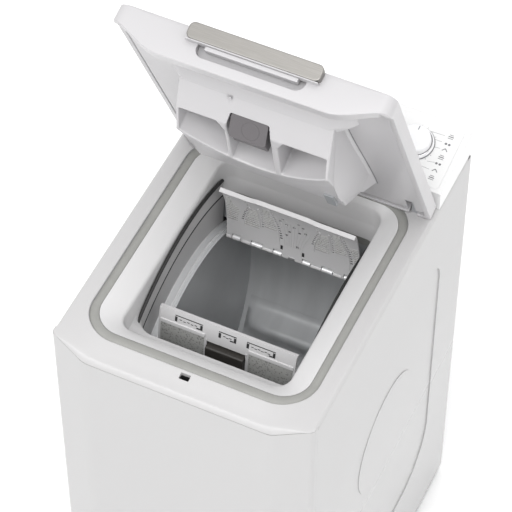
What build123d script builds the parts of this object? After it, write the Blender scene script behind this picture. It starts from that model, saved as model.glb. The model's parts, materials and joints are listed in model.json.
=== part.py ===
from build123d import *
import os
from math import atan2, cos, degrees, radians, sin

os.makedirs("parts", exist_ok=True)

# Frame: millimetres, Z up, front towards -Y, origin at the middle of the footprint on the floor.
# The lid and both drum flaps are drawn open, which is how the machine rests here.

# ------------------------------------------------------------------ driving dimensions
WIDTH = 400.0
DEPTH = 572.0
REAR_TOP = 876.0
DECK = 820.0
PANEL_LOW = 14.0
SHEET = 1.0
HALF_W = WIDTH / 2
FRONT = -DEPTH / 2
REAR = DEPTH / 2

# Front panel: a flat middle face and two shallow facets that turn back to the sides.
BEND_X = 142.6
CORNER_Y = FRONT + 18.0
SIDE_START = CORNER_Y + 12.0
SEAM_LOW = 802.4
SEAM_HIGH = 818.6

# Drum and tub share one axis along X.
AXIS_Y = -2.4
AXIS_Z = 475.7
DRUM_R = 225.0
DRUM_HALF = 124.0
DRUM_SHEET = 0.8
TUB_R = 240.0
TUB_WALL = 4.0
TUB_HALF = 148.0

# Drum opening: both hinges lie on the drum's surface, and the flaps meet at FLAP_MEET.
REAR_HINGE = (98.0, 677.0)
FRONT_HINGE = (-130.0, 661.0)
FLAP_MEET = 99.1
REAR_FLAP_TURN = 72.0
FRONT_FLAP_TURN = 62.0
FLAP_HALF = 108.0
PIN_R = 2.0

# Lid hinge axis along X, and how far the lid stands open.
HINGE_Y = 149.0
HINGE_Z = 838.0
LID_OPEN = 66.0
LID_TOP = 845.0
LID_RIM = 822.0
LID_HALF = 198.0
LID_FRONT = -300.0
LID_LOWER_FRONT = -308.0

# Console behind the lid.
CONSOLE_FRONT = 164.5
CONSOLE_FRONT_TOP = 852.5

MIN_Z = (Align.CENTER, Align.CENTER, Align.MIN)
TURN_TO_X = (0, 90, 0)


# ------------------------------------------------------------------ shared geometry
def axis_plane(y, z, turn):
    """Plane on an axis along X at (y, z), turned about that axis by turn degrees."""
    lean = radians(turn)
    return Plane(origin=(0, y, z), x_dir=(1, 0, 0), z_dir=(0, -sin(lean), cos(lean)))


def side_plane(plane):
    """The plane seen from +X: its first axis is the plane's own Y, its second the plane's Z."""
    return Plane(origin=plane.origin, x_dir=plane.y_dir, z_dir=plane.x_dir)


def profile_yz(points, x=0.0):
    """Closed outline in Y and Z, at a given X."""
    with BuildSketch(Plane.YZ.offset(x)) as outline:
        with BuildLine():
            Polyline(*points, close=True)
        make_face()
    return outline.sketch


def profile_xz(points, y=0.0):
    """Closed outline in X and Z, at a given Y."""
    with BuildSketch(Plane(origin=(0, y, 0), x_dir=(1, 0, 0), z_dir=(0, -1, 0))) as outline:
        with BuildLine():
            Polyline(*points, close=True)
        make_face()
    return outline.sketch


def ring_plan(z, half_x, y_low, y_high, radius):
    """Rounded rectangle in plan, at height z."""
    middle = (y_low + y_high) / 2
    with BuildSketch(Plane(origin=(0, middle, z))) as outline:
        RectangleRounded(2 * half_x, y_high - y_low, radius)
    return outline.sketch


def cabinet_plan(z, inset=0.0):
    """Plan outline of the cabinet, drawn in by inset."""
    with BuildSketch(Plane.XY.offset(z)) as outline:
        with BuildLine():
            Polyline(
                (-HALF_W, REAR),
                (-HALF_W, CORNER_Y),
                (-BEND_X, FRONT),
                (BEND_X, FRONT),
                (HALF_W, CORNER_Y),
                (HALF_W, REAR),
                close=True,
            )
        make_face()
        corners = outline.vertices().filter_by_position(Axis.Y, CORNER_Y - 1, CORNER_Y + 1)
        fillet(corners, radius=9)
        bends = outline.vertices().filter_by_position(Axis.Y, FRONT - 1, FRONT + 1)
        fillet(bends, radius=70)
        if inset:
            offset(amount=-inset, kind=Kind.INTERSECTION)
    return outline.sketch


def above_seam(drop):
    """Everything above the curved seam of the front panel, lowered by drop."""
    low = SEAM_LOW - drop
    high = SEAM_HIGH - drop
    points = [
        (-HALF_W - 10, high),
        (-191, high),
        (-BEND_X, low),
        (BEND_X, low),
        (191, high),
        (HALF_W + 10, high),
        (HALF_W + 10, DECK + 30),
        (-HALF_W - 10, DECK + 30),
    ]
    return profile_xz(points, FRONT + 40)


# ------------------------------------------------------------------ rear connections, suspension
INLET_X = 120.0
INLET_Z = 740.0
DRAIN_X = -120.0
DRAIN_Z = 120.0
GLAND_X = -150.0
GLAND_Z = 760.0
SPRING_YS = (-150.0, 150.0)
SPRING_LUG_Z = 575.0

# ------------------------------------------------------------------ base tray, feet
TRAY_LOW = 18.0
TRAY_HIGH = 58.0
TRAY_X = 197.0
TRAY_FRONT = -255.0
TRAY_REAR = 283.0
FOOT_SPOTS = [(x, y, 0) for x in (-165, 165) for y in (-218, 245)]
FOOT_BORE = 5.2
NUT_H = 6.0

with BuildPart() as base_tray:
    extrude(ring_plan(TRAY_LOW, TRAY_X, TRAY_FRONT, TRAY_REAR, 6), amount=TRAY_HIGH - TRAY_LOW)
    extrude(
        ring_plan(TRAY_LOW + 3, TRAY_X - 3, TRAY_FRONT + 3, TRAY_REAR - 3, 4),
        amount=TRAY_HIGH,
        mode=Mode.SUBTRACT,
    )
    with Locations(*[(x, y, TRAY_LOW) for x, y, _ in FOOT_SPOTS]):
        Box(44, 44, 32, align=MIN_Z)
    with Locations(*[(x, 0, TRAY_LOW) for x in (-90, 90)]):
        Box(4, 520, 22, align=MIN_Z)
    with Locations((0, 20, 0)):
        Box(120, 240, 60, mode=Mode.SUBTRACT)
    with Locations(*FOOT_SPOTS):
        Cylinder(FOOT_BORE, 60, align=MIN_Z, mode=Mode.SUBTRACT)
base_tray.part.label = "base_tray"
export_step(base_tray.part, "parts/base_tray.step")

with BuildPart() as levelling_feet:
    with Locations(*FOOT_SPOTS):
        Cylinder(19, 9, align=MIN_Z)
        Cylinder(5, 46, align=MIN_Z)
levelling_feet.part.label = "levelling_feet"
export_step(levelling_feet.part, "parts/levelling_feet.step")

with BuildPart() as foot_locknuts:
    with BuildSketch(Plane.XY.offset(TRAY_LOW - NUT_H - 0.5)) as nuts:
        with Locations(*[(x, y) for x, y, _ in FOOT_SPOTS]):
            RegularPolygon(9, 6)
            Circle(FOOT_BORE, mode=Mode.SUBTRACT)
    extrude(nuts.sketch, amount=NUT_H)
foot_locknuts.part.label = "foot_locknuts"
export_step(foot_locknuts.part, "parts/foot_locknuts.step")

# ------------------------------------------------------------------ cabinet panels
FILTER_X = 70.0
FILTER_Z = 88.0
FILTER_HALF_W = 45.0
FILTER_HALF_H = 34.0

with BuildPart() as front_panel:
    extrude(cabinet_plan(PANEL_LOW), amount=SEAM_HIGH - PANEL_LOW)
    extrude(cabinet_plan(PANEL_LOW, SHEET), amount=SEAM_HIGH - PANEL_LOW, mode=Mode.SUBTRACT)
    with Locations((0, SIDE_START, 0)):
        Box(
            WIDTH + 20,
            DEPTH + 40,
            2 * DECK,
            align=(Align.CENTER, Align.MIN, Align.CENTER),
            mode=Mode.SUBTRACT,
        )
    extrude(above_seam(0), amount=60, mode=Mode.SUBTRACT)
    with Locations((FILTER_X, FRONT, FILTER_Z)):
        Box(2 * FILTER_HALF_W, 20, 2 * FILTER_HALF_H, mode=Mode.SUBTRACT)
front_panel.part.label = "front_panel"
export_step(front_panel.part, "parts/front_panel.step")

# Pressed outline of the side panels: a shallow recess with a round field in its middle.
PRESS_DEPTH = 2.0
PRESS_FRONT = -191.0
PRESS_REAR = 192.0
PRESS_LOW = 165.0
PRESS_HIGH = 684.0
FIELD_Y = 8.0
FIELD_Z = 464.0
FIELD_R = 100.0
FIELD_DROP = 0.8
SIDE_TOP = 811.5


def press_outline(x, grow):
    """Outline of the pressed recess on a plane of constant X."""
    centre_y = (PRESS_FRONT + PRESS_REAR) / 2
    centre_z = (PRESS_LOW + PRESS_HIGH) / 2
    wide = PRESS_REAR - PRESS_FRONT + 2 * grow
    high = PRESS_HIGH - PRESS_LOW + 2 * grow
    with BuildSketch(Plane.YZ.offset(x)) as outline:
        with Locations((centre_y, centre_z)):
            Rectangle(wide, high)
        corners = outline.vertices().group_by(Axis.Y)
        fillet(corners[0], radius=95)
        rear_corners = outline.vertices().group_by(Axis.Y)[-1]
        fillet(rear_corners, radius=50)
    return outline.sketch


def slab(sign, near, far):
    """Lowest X of a layer that lies from near to far below the outer face of a side panel."""
    return min(sign * (HALF_W - near), sign * (HALF_W - far))


def side_panel(sign):
    """One side panel; sign is -1 for the left side and 1 for the right."""
    floor = PRESS_DEPTH + SHEET
    with BuildPart() as panel:
        with Locations((slab(sign, 0, SHEET), SIDE_START + 0.3, PANEL_LOW)):
            Box(
                SHEET,
                REAR - SIDE_START - 0.3,
                SIDE_TOP - PANEL_LOW,
                align=(Align.MIN, Align.MIN, Align.MIN),
            )
        extrude(press_outline(slab(sign, 0, floor), SHEET), amount=floor)
        outside = press_outline(slab(sign, -1, PRESS_DEPTH), 0)
        extrude(outside, amount=PRESS_DEPTH + 1, mode=Mode.SUBTRACT)
        with BuildSketch(Plane.YZ.offset(slab(sign, FIELD_DROP, floor))) as field:
            with Locations((FIELD_Y, FIELD_Z)):
                Circle(FIELD_R)
        extrude(field.sketch, amount=floor - FIELD_DROP)
        with Locations((sign * (HALF_W - 8), REAR - SHEET * 1.5, 410)):
            Box(16, SHEET, 780)
    return panel.part


for side, sign in (("left_side_panel", -1), ("right_side_panel", 1)):
    wall = side_panel(sign)
    wall.label = side
    export_step(wall, f"parts/{side}.step")

with BuildPart() as rear_panel:
    with Locations((0, REAR - SHEET / 2, (PANEL_LOW + SIDE_TOP) / 2)):
        Box(2 * (HALF_W - SHEET) - 0.4, SHEET, SIDE_TOP - PANEL_LOW)
    with Locations((0, REAR - 2, 430)):
        Box(260, 4, 420)
    with Locations((0, REAR, 430)):
        Box(258, 6, 418, mode=Mode.SUBTRACT)
    with Locations((INLET_X, REAR, INLET_Z), (DRAIN_X, REAR, DRAIN_Z)):
        Box(64, 20, 64, mode=Mode.SUBTRACT)
    with Locations(Plane.XZ.offset(-REAR)):
        with Locations((GLAND_X, GLAND_Z)):
            Cylinder(9, 20, mode=Mode.SUBTRACT)
rear_panel.part.label = "rear_panel"
export_step(rear_panel.part, "parts/rear_panel.step")

# ------------------------------------------------------------------ top cover, gasket, well
GASKET_OUT = (174.0, -246.0, 155.0, 38.0)
GASKET_IN = (161.0, -231.0, 141.0, 30.0)
LIP = (128.0, -206.0, 138.0, 22.0)
LIP_Z = 800.0
WELL_BEND = 765.0
WELL_FOOT = (126.0, -162.0, 130.0, 20.0)
WELL_LOW = 741.0
GASKET_TOP = 817.0
GROOVE = 813.0
COVER_LOW = 797.0
SLOT = (0.0, -256.0, 15.0, 10.0)


def grown(outline, by):
    """Half width, front, rear and corner radius of a plan outline grown by an amount."""
    half_x, front, rear, radius = outline
    return half_x + by, front - by, rear + by, radius + by


with BuildPart() as top_cover:
    extrude(cabinet_plan(COVER_LOW), amount=DECK - COVER_LOW)
    top_edges = top_cover.faces().sort_by(Axis.Z)[-1].edges().filter_by(GeomType.LINE)
    fillet(top_edges.filter_by(Axis.Y), radius=6)
    # Front of the deck dips towards the middle of the front edge.
    dip = loft(
        [
            profile_xz([(-185, 821), (-120, 811.4), (120, 811.4), (185, 821)], FRONT - 14).face(),
            profile_xz([(-185, 821), (-120, 820.2), (120, 820.2), (185, 821)], -232).face(),
        ],
        mode=Mode.PRIVATE,
    )
    add(dip, mode=Mode.SUBTRACT)
    bevel = [(FRONT + 7, 812.2), (FRONT - 2, 801), (FRONT - 2, 830), (FRONT + 7, 830)]
    extrude(profile_yz(bevel, -BEND_X + 8), amount=2 * BEND_X - 16, mode=Mode.SUBTRACT)
    # The cover's skirt stops at the front panel's seam and at the tops of the side panels.
    below = profile_xz(
        [
            (-HALF_W - 10, SEAM_HIGH + 0.4),
            (-191, SEAM_HIGH + 0.4),
            (-BEND_X, SEAM_LOW + 0.4),
            (BEND_X, SEAM_LOW + 0.4),
            (191, SEAM_HIGH + 0.4),
            (HALF_W + 10, SEAM_HIGH + 0.4),
            (HALF_W + 10, 780),
            (-HALF_W - 10, 780),
        ],
        SIDE_START + 0.2,
    )
    extrude(below, amount=60, mode=Mode.SUBTRACT)
    with Locations((0, SIDE_START, 0)):
        Box(
            WIDTH + 10,
            DEPTH + 10,
            2 * (SIDE_TOP + 0.5),
            align=(Align.CENTER, Align.MIN, Align.CENTER),
            mode=Mode.SUBTRACT,
        )
    hollow = extrude(cabinet_plan(780, 3), amount=DECK - 9 - 780, mode=Mode.PRIVATE)
    add(hollow - Pos(0, FRONT + 5, 790) * Box(WIDTH, 12, 60, mode=Mode.PRIVATE), mode=Mode.SUBTRACT)
    # Groove and opening for the gasket and the well, and the bay under the console.
    extrude(ring_plan(GROOVE, *GASKET_OUT), amount=20, mode=Mode.SUBTRACT)
    extrude(ring_plan(780, *GASKET_IN), amount=60, mode=Mode.SUBTRACT)
    extrude(ring_plan(780, 186, 176, 280, 6), amount=60, mode=Mode.SUBTRACT)
    with Locations((SLOT[0], SLOT[1], 810)):
        Box(SLOT[2], SLOT[3], 40, mode=Mode.SUBTRACT)
top_cover.part.label = "top_cover"
export_step(top_cover.part, "parts/top_cover.step")

with BuildPart() as cover_gasket:
    extrude(ring_plan(GROOVE, *grown(GASKET_OUT, -0.2)), amount=GASKET_TOP - GROOVE)
    extrude(ring_plan(GROOVE, *GASKET_IN), amount=10, mode=Mode.SUBTRACT)
cover_gasket.part.label = "cover_gasket"
export_step(cover_gasket.part, "parts/cover_gasket.step")

with BuildPart() as opening_well:
    loft([ring_plan(LIP_Z - 3, *grown(LIP, 3)), ring_plan(GASKET_TOP - 1, *grown(GASKET_IN, -0.3))])
    extrude(ring_plan(WELL_BEND, *grown(LIP, 3)), amount=LIP_Z - 3 - WELL_BEND)
    loft([ring_plan(WELL_LOW, *grown(WELL_FOOT, 3)), ring_plan(WELL_BEND, *grown(LIP, 3))])
    loft(
        [ring_plan(LIP_Z, *LIP), ring_plan(GASKET_TOP, *grown(GASKET_IN, -2))],
        mode=Mode.SUBTRACT,
    )
    extrude(ring_plan(WELL_BEND, *LIP), amount=LIP_Z - WELL_BEND, mode=Mode.SUBTRACT)
    loft([ring_plan(WELL_LOW, *WELL_FOOT), ring_plan(WELL_BEND, *LIP)], mode=Mode.SUBTRACT)
opening_well.part.label = "opening_well"
export_step(opening_well.part, "parts/opening_well.step")

NECK = (144.0, -165.0, 132.0, 12.0)
NECK_TOP = 722.0

with BuildPart() as well_bellows:
    loft([ring_plan(NECK_TOP, *grown(NECK, TUB_WALL)), ring_plan(WELL_LOW, *grown(WELL_FOOT, 3))])
    loft([ring_plan(NECK_TOP, *NECK), ring_plan(WELL_LOW, *WELL_FOOT)], mode=Mode.SUBTRACT)
well_bellows.part.label = "well_bellows"
export_step(well_bellows.part, "parts/well_bellows.step")

# ------------------------------------------------------------------ tub
SUMP_LOW = 214.0
HEATER_Z = 229.0
SUMP_X = 108.0
SUMP_Y = 45.0
BEARING_R = 26.0
HUB_R = 34.0
HUB_OUT = 172.0


def along_x(radius, x_low, x_high, y=AXIS_Y, z=AXIS_Z, mode=Mode.ADD):
    """Cylinder along X between two planes."""
    with Locations(((x_low + x_high) / 2, y, z)):
        Cylinder(radius, x_high - x_low, rotation=TURN_TO_X, mode=mode)


with BuildPart() as tub_shell:
    along_x(TUB_R, -TUB_HALF, TUB_HALF)
    extrude(ring_plan(AXIS_Z + 60, *grown(NECK, TUB_WALL)), amount=NECK_TOP - AXIS_Z - 60)
    with Locations((0, AXIS_Y, SUMP_LOW)):
        Box(2 * SUMP_X, 2 * SUMP_Y, 60, align=MIN_Z)
    with Locations((0, AXIS_Y, SUMP_LOW + TUB_WALL)):
        Box(2 * (SUMP_X - TUB_WALL), 2 * (SUMP_Y - TUB_WALL), 60, align=MIN_Z, mode=Mode.SUBTRACT)
    with Locations((SUMP_X, AXIS_Y, HEATER_Z)):
        Box(20, 52.4, 18.4, mode=Mode.SUBTRACT)
    along_x(TUB_R - TUB_WALL, -TUB_HALF - 1, TUB_HALF + 1, mode=Mode.SUBTRACT)
    extrude(ring_plan(AXIS_Z + 60, *NECK), amount=NECK_TOP, mode=Mode.SUBTRACT)
tub_shell.part.label = "tub_shell"
export_step(tub_shell.part, "parts/tub_shell.step")

for side, sign in (("tub_end_left", -1), ("tub_end_right", 1)):
    with BuildPart() as tub_end:
        along_x(TUB_R, *sorted((sign * TUB_HALF, sign * (TUB_HALF + 4))))
        along_x(HUB_R, *sorted((sign * TUB_HALF, sign * HUB_OUT)))
        for turn in range(0, 360, 45):
            rib_y = AXIS_Y + 115 * cos(radians(turn))
            rib_z = AXIS_Z + 115 * sin(radians(turn))
            with Locations(Location((sign * (TUB_HALF + 6.5), rib_y, rib_z), (turn, 0, 0))):
                Box(5.2, 176, 4)
        with Locations(*[(sign * (TUB_HALF + 12), y, SPRING_LUG_Z) for y in SPRING_YS]):
            Box(24, 16, 12)
        along_x(BEARING_R + 0.02, *sorted((sign * (TUB_HALF - 1), sign * (HUB_OUT + 1))), mode=Mode.SUBTRACT)
    tub_end.part.label = side
    export_step(tub_end.part, f"parts/{side}.step")

# ------------------------------------------------------------------ drum
def on_drum(angle, radius=DRUM_R):
    """Point in Y and Z at an angle round the drum axis, from +Y towards +Z."""
    return (
        AXIS_Y + radius * cos(radians(angle)),
        AXIS_Z + radius * sin(radians(angle)),
    )


def hinge_angle(hinge):
    """Angle of a flap hinge round the drum axis."""
    return degrees(atan2(hinge[1] - AXIS_Z, hinge[0] - AXIS_Y))


def drum_strip(r_low, r_high, start, stop, half_x):
    """Curved strip of the drum's wall between two angles, centred on X = 0."""
    middle = (start + stop) / 2
    with BuildPart(mode=Mode.PRIVATE) as strip:
        with BuildSketch(Plane.YZ.offset(-half_x)) as outline:
            with BuildLine():
                outer = ThreePointArc(
                    on_drum(start, r_high), on_drum(middle, r_high), on_drum(stop, r_high)
                )
                inner = ThreePointArc(
                    on_drum(start, r_low), on_drum(middle, r_low), on_drum(stop, r_low)
                )
                Line(outer @ 0, inner @ 0)
                Line(outer @ 1, inner @ 1)
            make_face()
        extrude(outline.sketch, amount=2 * half_x)
    return strip.part


REAR_EDGE = hinge_angle(REAR_HINGE)
FRONT_EDGE = hinge_angle(FRONT_HINGE)
EDGE_GAP = 1.9
RIM_IN = 112.0
SHAFT_R = 12.5

with BuildPart() as drum_shell:
    along_x(DRUM_R, -DRUM_HALF, DRUM_HALF)
    along_x(DRUM_R - DRUM_SHEET, -DRUM_HALF - 1, DRUM_HALF + 1, mode=Mode.SUBTRACT)
    opening = drum_strip(DRUM_R - 20, DRUM_R + 5, REAR_EDGE - EDGE_GAP, FRONT_EDGE + EDGE_GAP, FLAP_HALF + 2)
    add(opening, mode=Mode.SUBTRACT)
drum_shell.part.label = "drum_shell"
export_step(drum_shell.part, "parts/drum_shell.step")

RIM_R = DRUM_R + 1.6
END_X = 128.0

for side, sign in (("drum_end_left", -1), ("drum_end_right", 1)):
    with BuildPart() as drum_end:
        along_x(RIM_R, *sorted((sign * RIM_IN, sign * (END_X + 1.5))))
        along_x(DRUM_R + 0.05, *sorted((sign * (RIM_IN - 1), sign * END_X)), mode=Mode.SUBTRACT)
        along_x(46, *sorted((sign * END_X, sign * 140)))
        along_x(SHAFT_R, *sorted((sign * END_X, sign * (HUB_OUT + 20 if sign > 0 else HUB_OUT + 2))))
        for turn in (30, 150, 270):
            arm_y, arm_z = on_drum(turn, 120)
            with Locations(Location((sign * 133, arm_y, arm_z), (turn, 0, 0))):
                Box(8, 190, 26)
    drum_end.part.label = side
    export_step(drum_end.part, f"parts/{side}.step")

with BuildPart() as drum_lifters:
    for turn in (219, 329):
        foot_a = on_drum(turn - 9, DRUM_R - DRUM_SHEET - 2.2)
        foot_b = on_drum(turn + 9, DRUM_R - DRUM_SHEET - 2.2)
        crest_a = on_drum(turn - 2, DRUM_R - 50)
        crest_b = on_drum(turn + 2, DRUM_R - 50)
        extrude(profile_yz([foot_a, crest_a, crest_b, foot_b], -120), amount=240)
drum_lifters.part.label = "drum_lifters"
export_step(drum_lifters.part, "parts/drum_lifters.step")

# Hinge knuckles: steel loops on the drum alternate with plastic knuckles on the flap.
DRUM_LOOPS = [(-91, 12), (-57.5, 17), (-23.5, 12), (23.5, 12), (57.5, 17), (91, 12)]
FLAP_LOOPS = [(-102.8, 9), (-74.2, 14), (-39.5, 17), (39.5, 17), (74.2, 14), (102.8, 9)]
LOOP_R = 4.4
PIN_CLEAR = 0.06


def loops(spots, hinge):
    """Knuckles along a flap hinge, each a centre and a length along X."""
    for centre, length in spots:
        along_x(LOOP_R, centre - length / 2, centre + length / 2, *hinge)


with BuildPart() as hinge_strips:
    for hinge, edge, turn in ((REAR_HINGE, REAR_EDGE, -1), (FRONT_HINGE, FRONT_EDGE, 1)):
        near, far = sorted((edge + turn * 1.75, edge + turn * 6))
        add(drum_strip(DRUM_R - 3.0, DRUM_R - 1.0, near, far, FLAP_HALF + 1))
        low, high = sorted((edge, edge + turn * 2.2))
        for centre, length in DRUM_LOOPS:
            tongue = drum_strip(DRUM_R - 3.0, DRUM_R - 1.0, low, high, length / 2)
            add(Pos(centre, 0, 0) * tongue)
        loops(DRUM_LOOPS, hinge)
    for hinge in (REAR_HINGE, FRONT_HINGE):
        along_x(PIN_R + 0.01, -FLAP_HALF - 5, FLAP_HALF + 5, *hinge, mode=Mode.SUBTRACT)
hinge_strips.part.label = "hinge_strips"
export_step(hinge_strips.part, "parts/hinge_strips.step")

with BuildPart() as flap_pins:
    for hinge in (REAR_HINGE, FRONT_HINGE):
        along_x(PIN_R, -FLAP_HALF - 1, FLAP_HALF + 1, *hinge)
flap_pins.part.label = "flap_pins"
export_step(flap_pins.part, "parts/flap_pins.step")


# ------------------------------------------------------------------ drum flaps
def open_flap(closed, hinge, turn):
    """A flap drawn closed on the drum, swung open about its hinge."""
    axis = Axis((0, hinge[0], hinge[1]), (1, 0, 0))
    return closed.rotate(axis, turn)


FLAP_IN = DRUM_R - 5.0
FLAP_OUT = DRUM_R - 0.5

with BuildPart() as rear_flap:
    add(drum_strip(FLAP_OUT - 2.5, FLAP_OUT, REAR_EDGE + 1.75, FLAP_MEET - 0.35, FLAP_HALF))
    add(drum_strip(FLAP_IN - 3, FLAP_OUT, FLAP_MEET - 2.6, FLAP_MEET - 0.35, FLAP_HALF))
    for spot in (-92, -46, 0, 46, 92):
        rib = drum_strip(FLAP_IN, FLAP_OUT, REAR_EDGE + 1.75, FLAP_MEET - 0.35, 1.2)
        add(Pos(spot, 0, 0) * rib)
    for centre, length in FLAP_LOOPS:
        tongue = drum_strip(FLAP_OUT - 3.5, FLAP_OUT - 1, REAR_EDGE, REAR_EDGE + 2.4, length / 2)
        add(Pos(centre, 0, 0) * tongue)
    loops(FLAP_LOOPS, REAR_HINGE)
    along_x(PIN_R + PIN_CLEAR, -FLAP_HALF - 5, FLAP_HALF + 5, *REAR_HINGE, mode=Mode.SUBTRACT)
rear_flap.part = open_flap(rear_flap.part, REAR_HINGE, -REAR_FLAP_TURN)
rear_flap.part.label = "rear_flap"
export_step(rear_flap.part, "parts/rear_flap.step")

# The front flap is deeper in its middle, where it carries the release button.
BUTTON_HALF = 30.0
BUTTON_START = FRONT_EDGE - 16.5
BUTTON_STOP = FRONT_EDGE - 4.5
HOUSING_IN = DRUM_R - 16.0

with BuildPart() as front_flap:
    add(drum_strip(FLAP_OUT - 2.5, FLAP_OUT, FLAP_MEET + 0.35, FRONT_EDGE - 1.75, FLAP_HALF))
    add(drum_strip(FLAP_IN - 3, FLAP_OUT, FLAP_MEET + 0.35, FLAP_MEET + 2.6, FLAP_HALF))
    add(drum_strip(HOUSING_IN, FLAP_OUT, BUTTON_START - 1.2, BUTTON_STOP + 1.2, BUTTON_HALF + 4))
    add(drum_strip(FLAP_OUT - 1, FLAP_OUT + 5, BUTTON_START - 3.2, BUTTON_START - 1.2, FLAP_HALF - 2))
    cavity = drum_strip(HOUSING_IN + 2.5, FLAP_OUT + 9, BUTTON_START, BUTTON_STOP, BUTTON_HALF)
    add(cavity, mode=Mode.SUBTRACT)
    for centre, length in FLAP_LOOPS:
        tongue = drum_strip(FLAP_OUT - 3.5, FLAP_OUT - 1, FRONT_EDGE - 2.4, FRONT_EDGE, length / 2)
        add(Pos(centre, 0, 0) * tongue)
    loops(FLAP_LOOPS, FRONT_HINGE)
    along_x(PIN_R + PIN_CLEAR, -FLAP_HALF - 5, FLAP_HALF + 5, *FRONT_HINGE, mode=Mode.SUBTRACT)
front_flap.part = open_flap(front_flap.part, FRONT_HINGE, FRONT_FLAP_TURN)
front_flap.part.label = "front_flap"
export_step(front_flap.part, "parts/front_flap.step")

# The release button sinks along the radius through its own middle.
button_angle = (BUTTON_START + BUTTON_STOP) / 2
BUTTON_TRAVEL = 4.0

with BuildPart() as flap_button:
    middle_y, middle_z = on_drum(button_angle, DRUM_R)
    with Locations(Location((0, middle_y, middle_z), (button_angle - 90, 0, 0))):
        Box(2 * BUTTON_HALF - 1, 40, 14)
    fillet(flap_button.edges().filter_by(Axis.X).sort_by(Axis.Z)[-2:], radius=3)
flap_button.part = open_flap(flap_button.part, FRONT_HINGE, FRONT_FLAP_TURN)
flap_button.part.label = "flap_button"
export_step(flap_button.part, "parts/flap_button.step")

# Torsion springs wound round the middle of both flap pins.
SPRING_COIL_R = 3.6
SPRING_WIRE_R = 0.5

with BuildPart() as flap_springs:
    for hinge_y, hinge_z in (REAR_HINGE, FRONT_HINGE):
        with BuildLine() as path:
            Helix(
                pitch=1.6,
                height=11.2,
                radius=SPRING_COIL_R,
                center=(-5.6, hinge_y, hinge_z),
                direction=(1, 0, 0),
            )
        with BuildSketch(path.line ^ 0) as wire:
            Circle(SPRING_WIRE_R)
        sweep(wire.sketch, path=path.line, is_frenet=True)
flap_springs.part.label = "flap_springs"
export_step(flap_springs.part, "parts/flap_springs.step")

# ------------------------------------------------------------------ lid
# The lid's own frame lies on the hinge axis and is turned open. Its sketches use the
# coordinates of the closed lid, so a closed height or Y is the same number as on the cabinet.
LID = axis_plane(HINGE_Y, HINGE_Z, -LID_OPEN)


def lid_ring(z, half_x, y_low, y_high, radius):
    """Rounded rectangle in the lid's plan, at the closed height z."""
    plane = LID.offset(z - HINGE_Z)
    middle = (y_low + y_high) / 2 - HINGE_Y
    with BuildSketch(plane) as outline:
        with Locations((0, middle)):
            RectangleRounded(2 * half_x, y_high - y_low, radius)
    return outline.sketch


def lid_side(points, x):
    """Closed outline in the lid's Y and Z, at a given X."""
    shifted = [(y - HINGE_Y, z - HINGE_Z) for y, z in points]
    with BuildSketch(side_plane(LID).offset(x)) as outline:
        with BuildLine():
            Polyline(*shifted, close=True)
        make_face()
    return outline.sketch


def lid_bar(points, x_low, x_high, mode=Mode.ADD):
    """Straight piece along X with an outline in the lid's Y and Z."""
    extrude(lid_side(points, x_low), amount=x_high - x_low, mode=mode)


def lid_box(x_low, x_high, y_low, y_high, z_low, z_high, mode=Mode.ADD):
    """Box with the closed lid's coordinates."""
    corners = [(y_low, z_low), (y_high, z_low), (y_high, z_high), (y_low, z_high)]
    lid_bar(corners, x_low, x_high, mode)


def lid_rod(radius, x_low, x_high, mode=Mode.ADD):
    """Cylinder on the hinge axis."""
    with BuildSketch(side_plane(LID).offset(x_low)) as outline:
        Circle(radius)
    extrude(outline.sketch, amount=x_high - x_low, mode=mode)


RIM_FRONT_LOW = 791.7
RIM_FRONT_CORNER = 814.0
SKIRT_BACK = -287.0
LID_REAR = 162.0
LID_WALL = 3.0
GRIP_HALF = 76.0
GRIP_LOW = 809.0
GRIP_HIGH = 826.0
LID_PIN_R = 3.0
BRACKET_R = 5.5
BRACKET_X = (165.0, 175.0)
BLOCK_SPANS = [(154.0, 163.0), (177.0, 186.0)]

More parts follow.
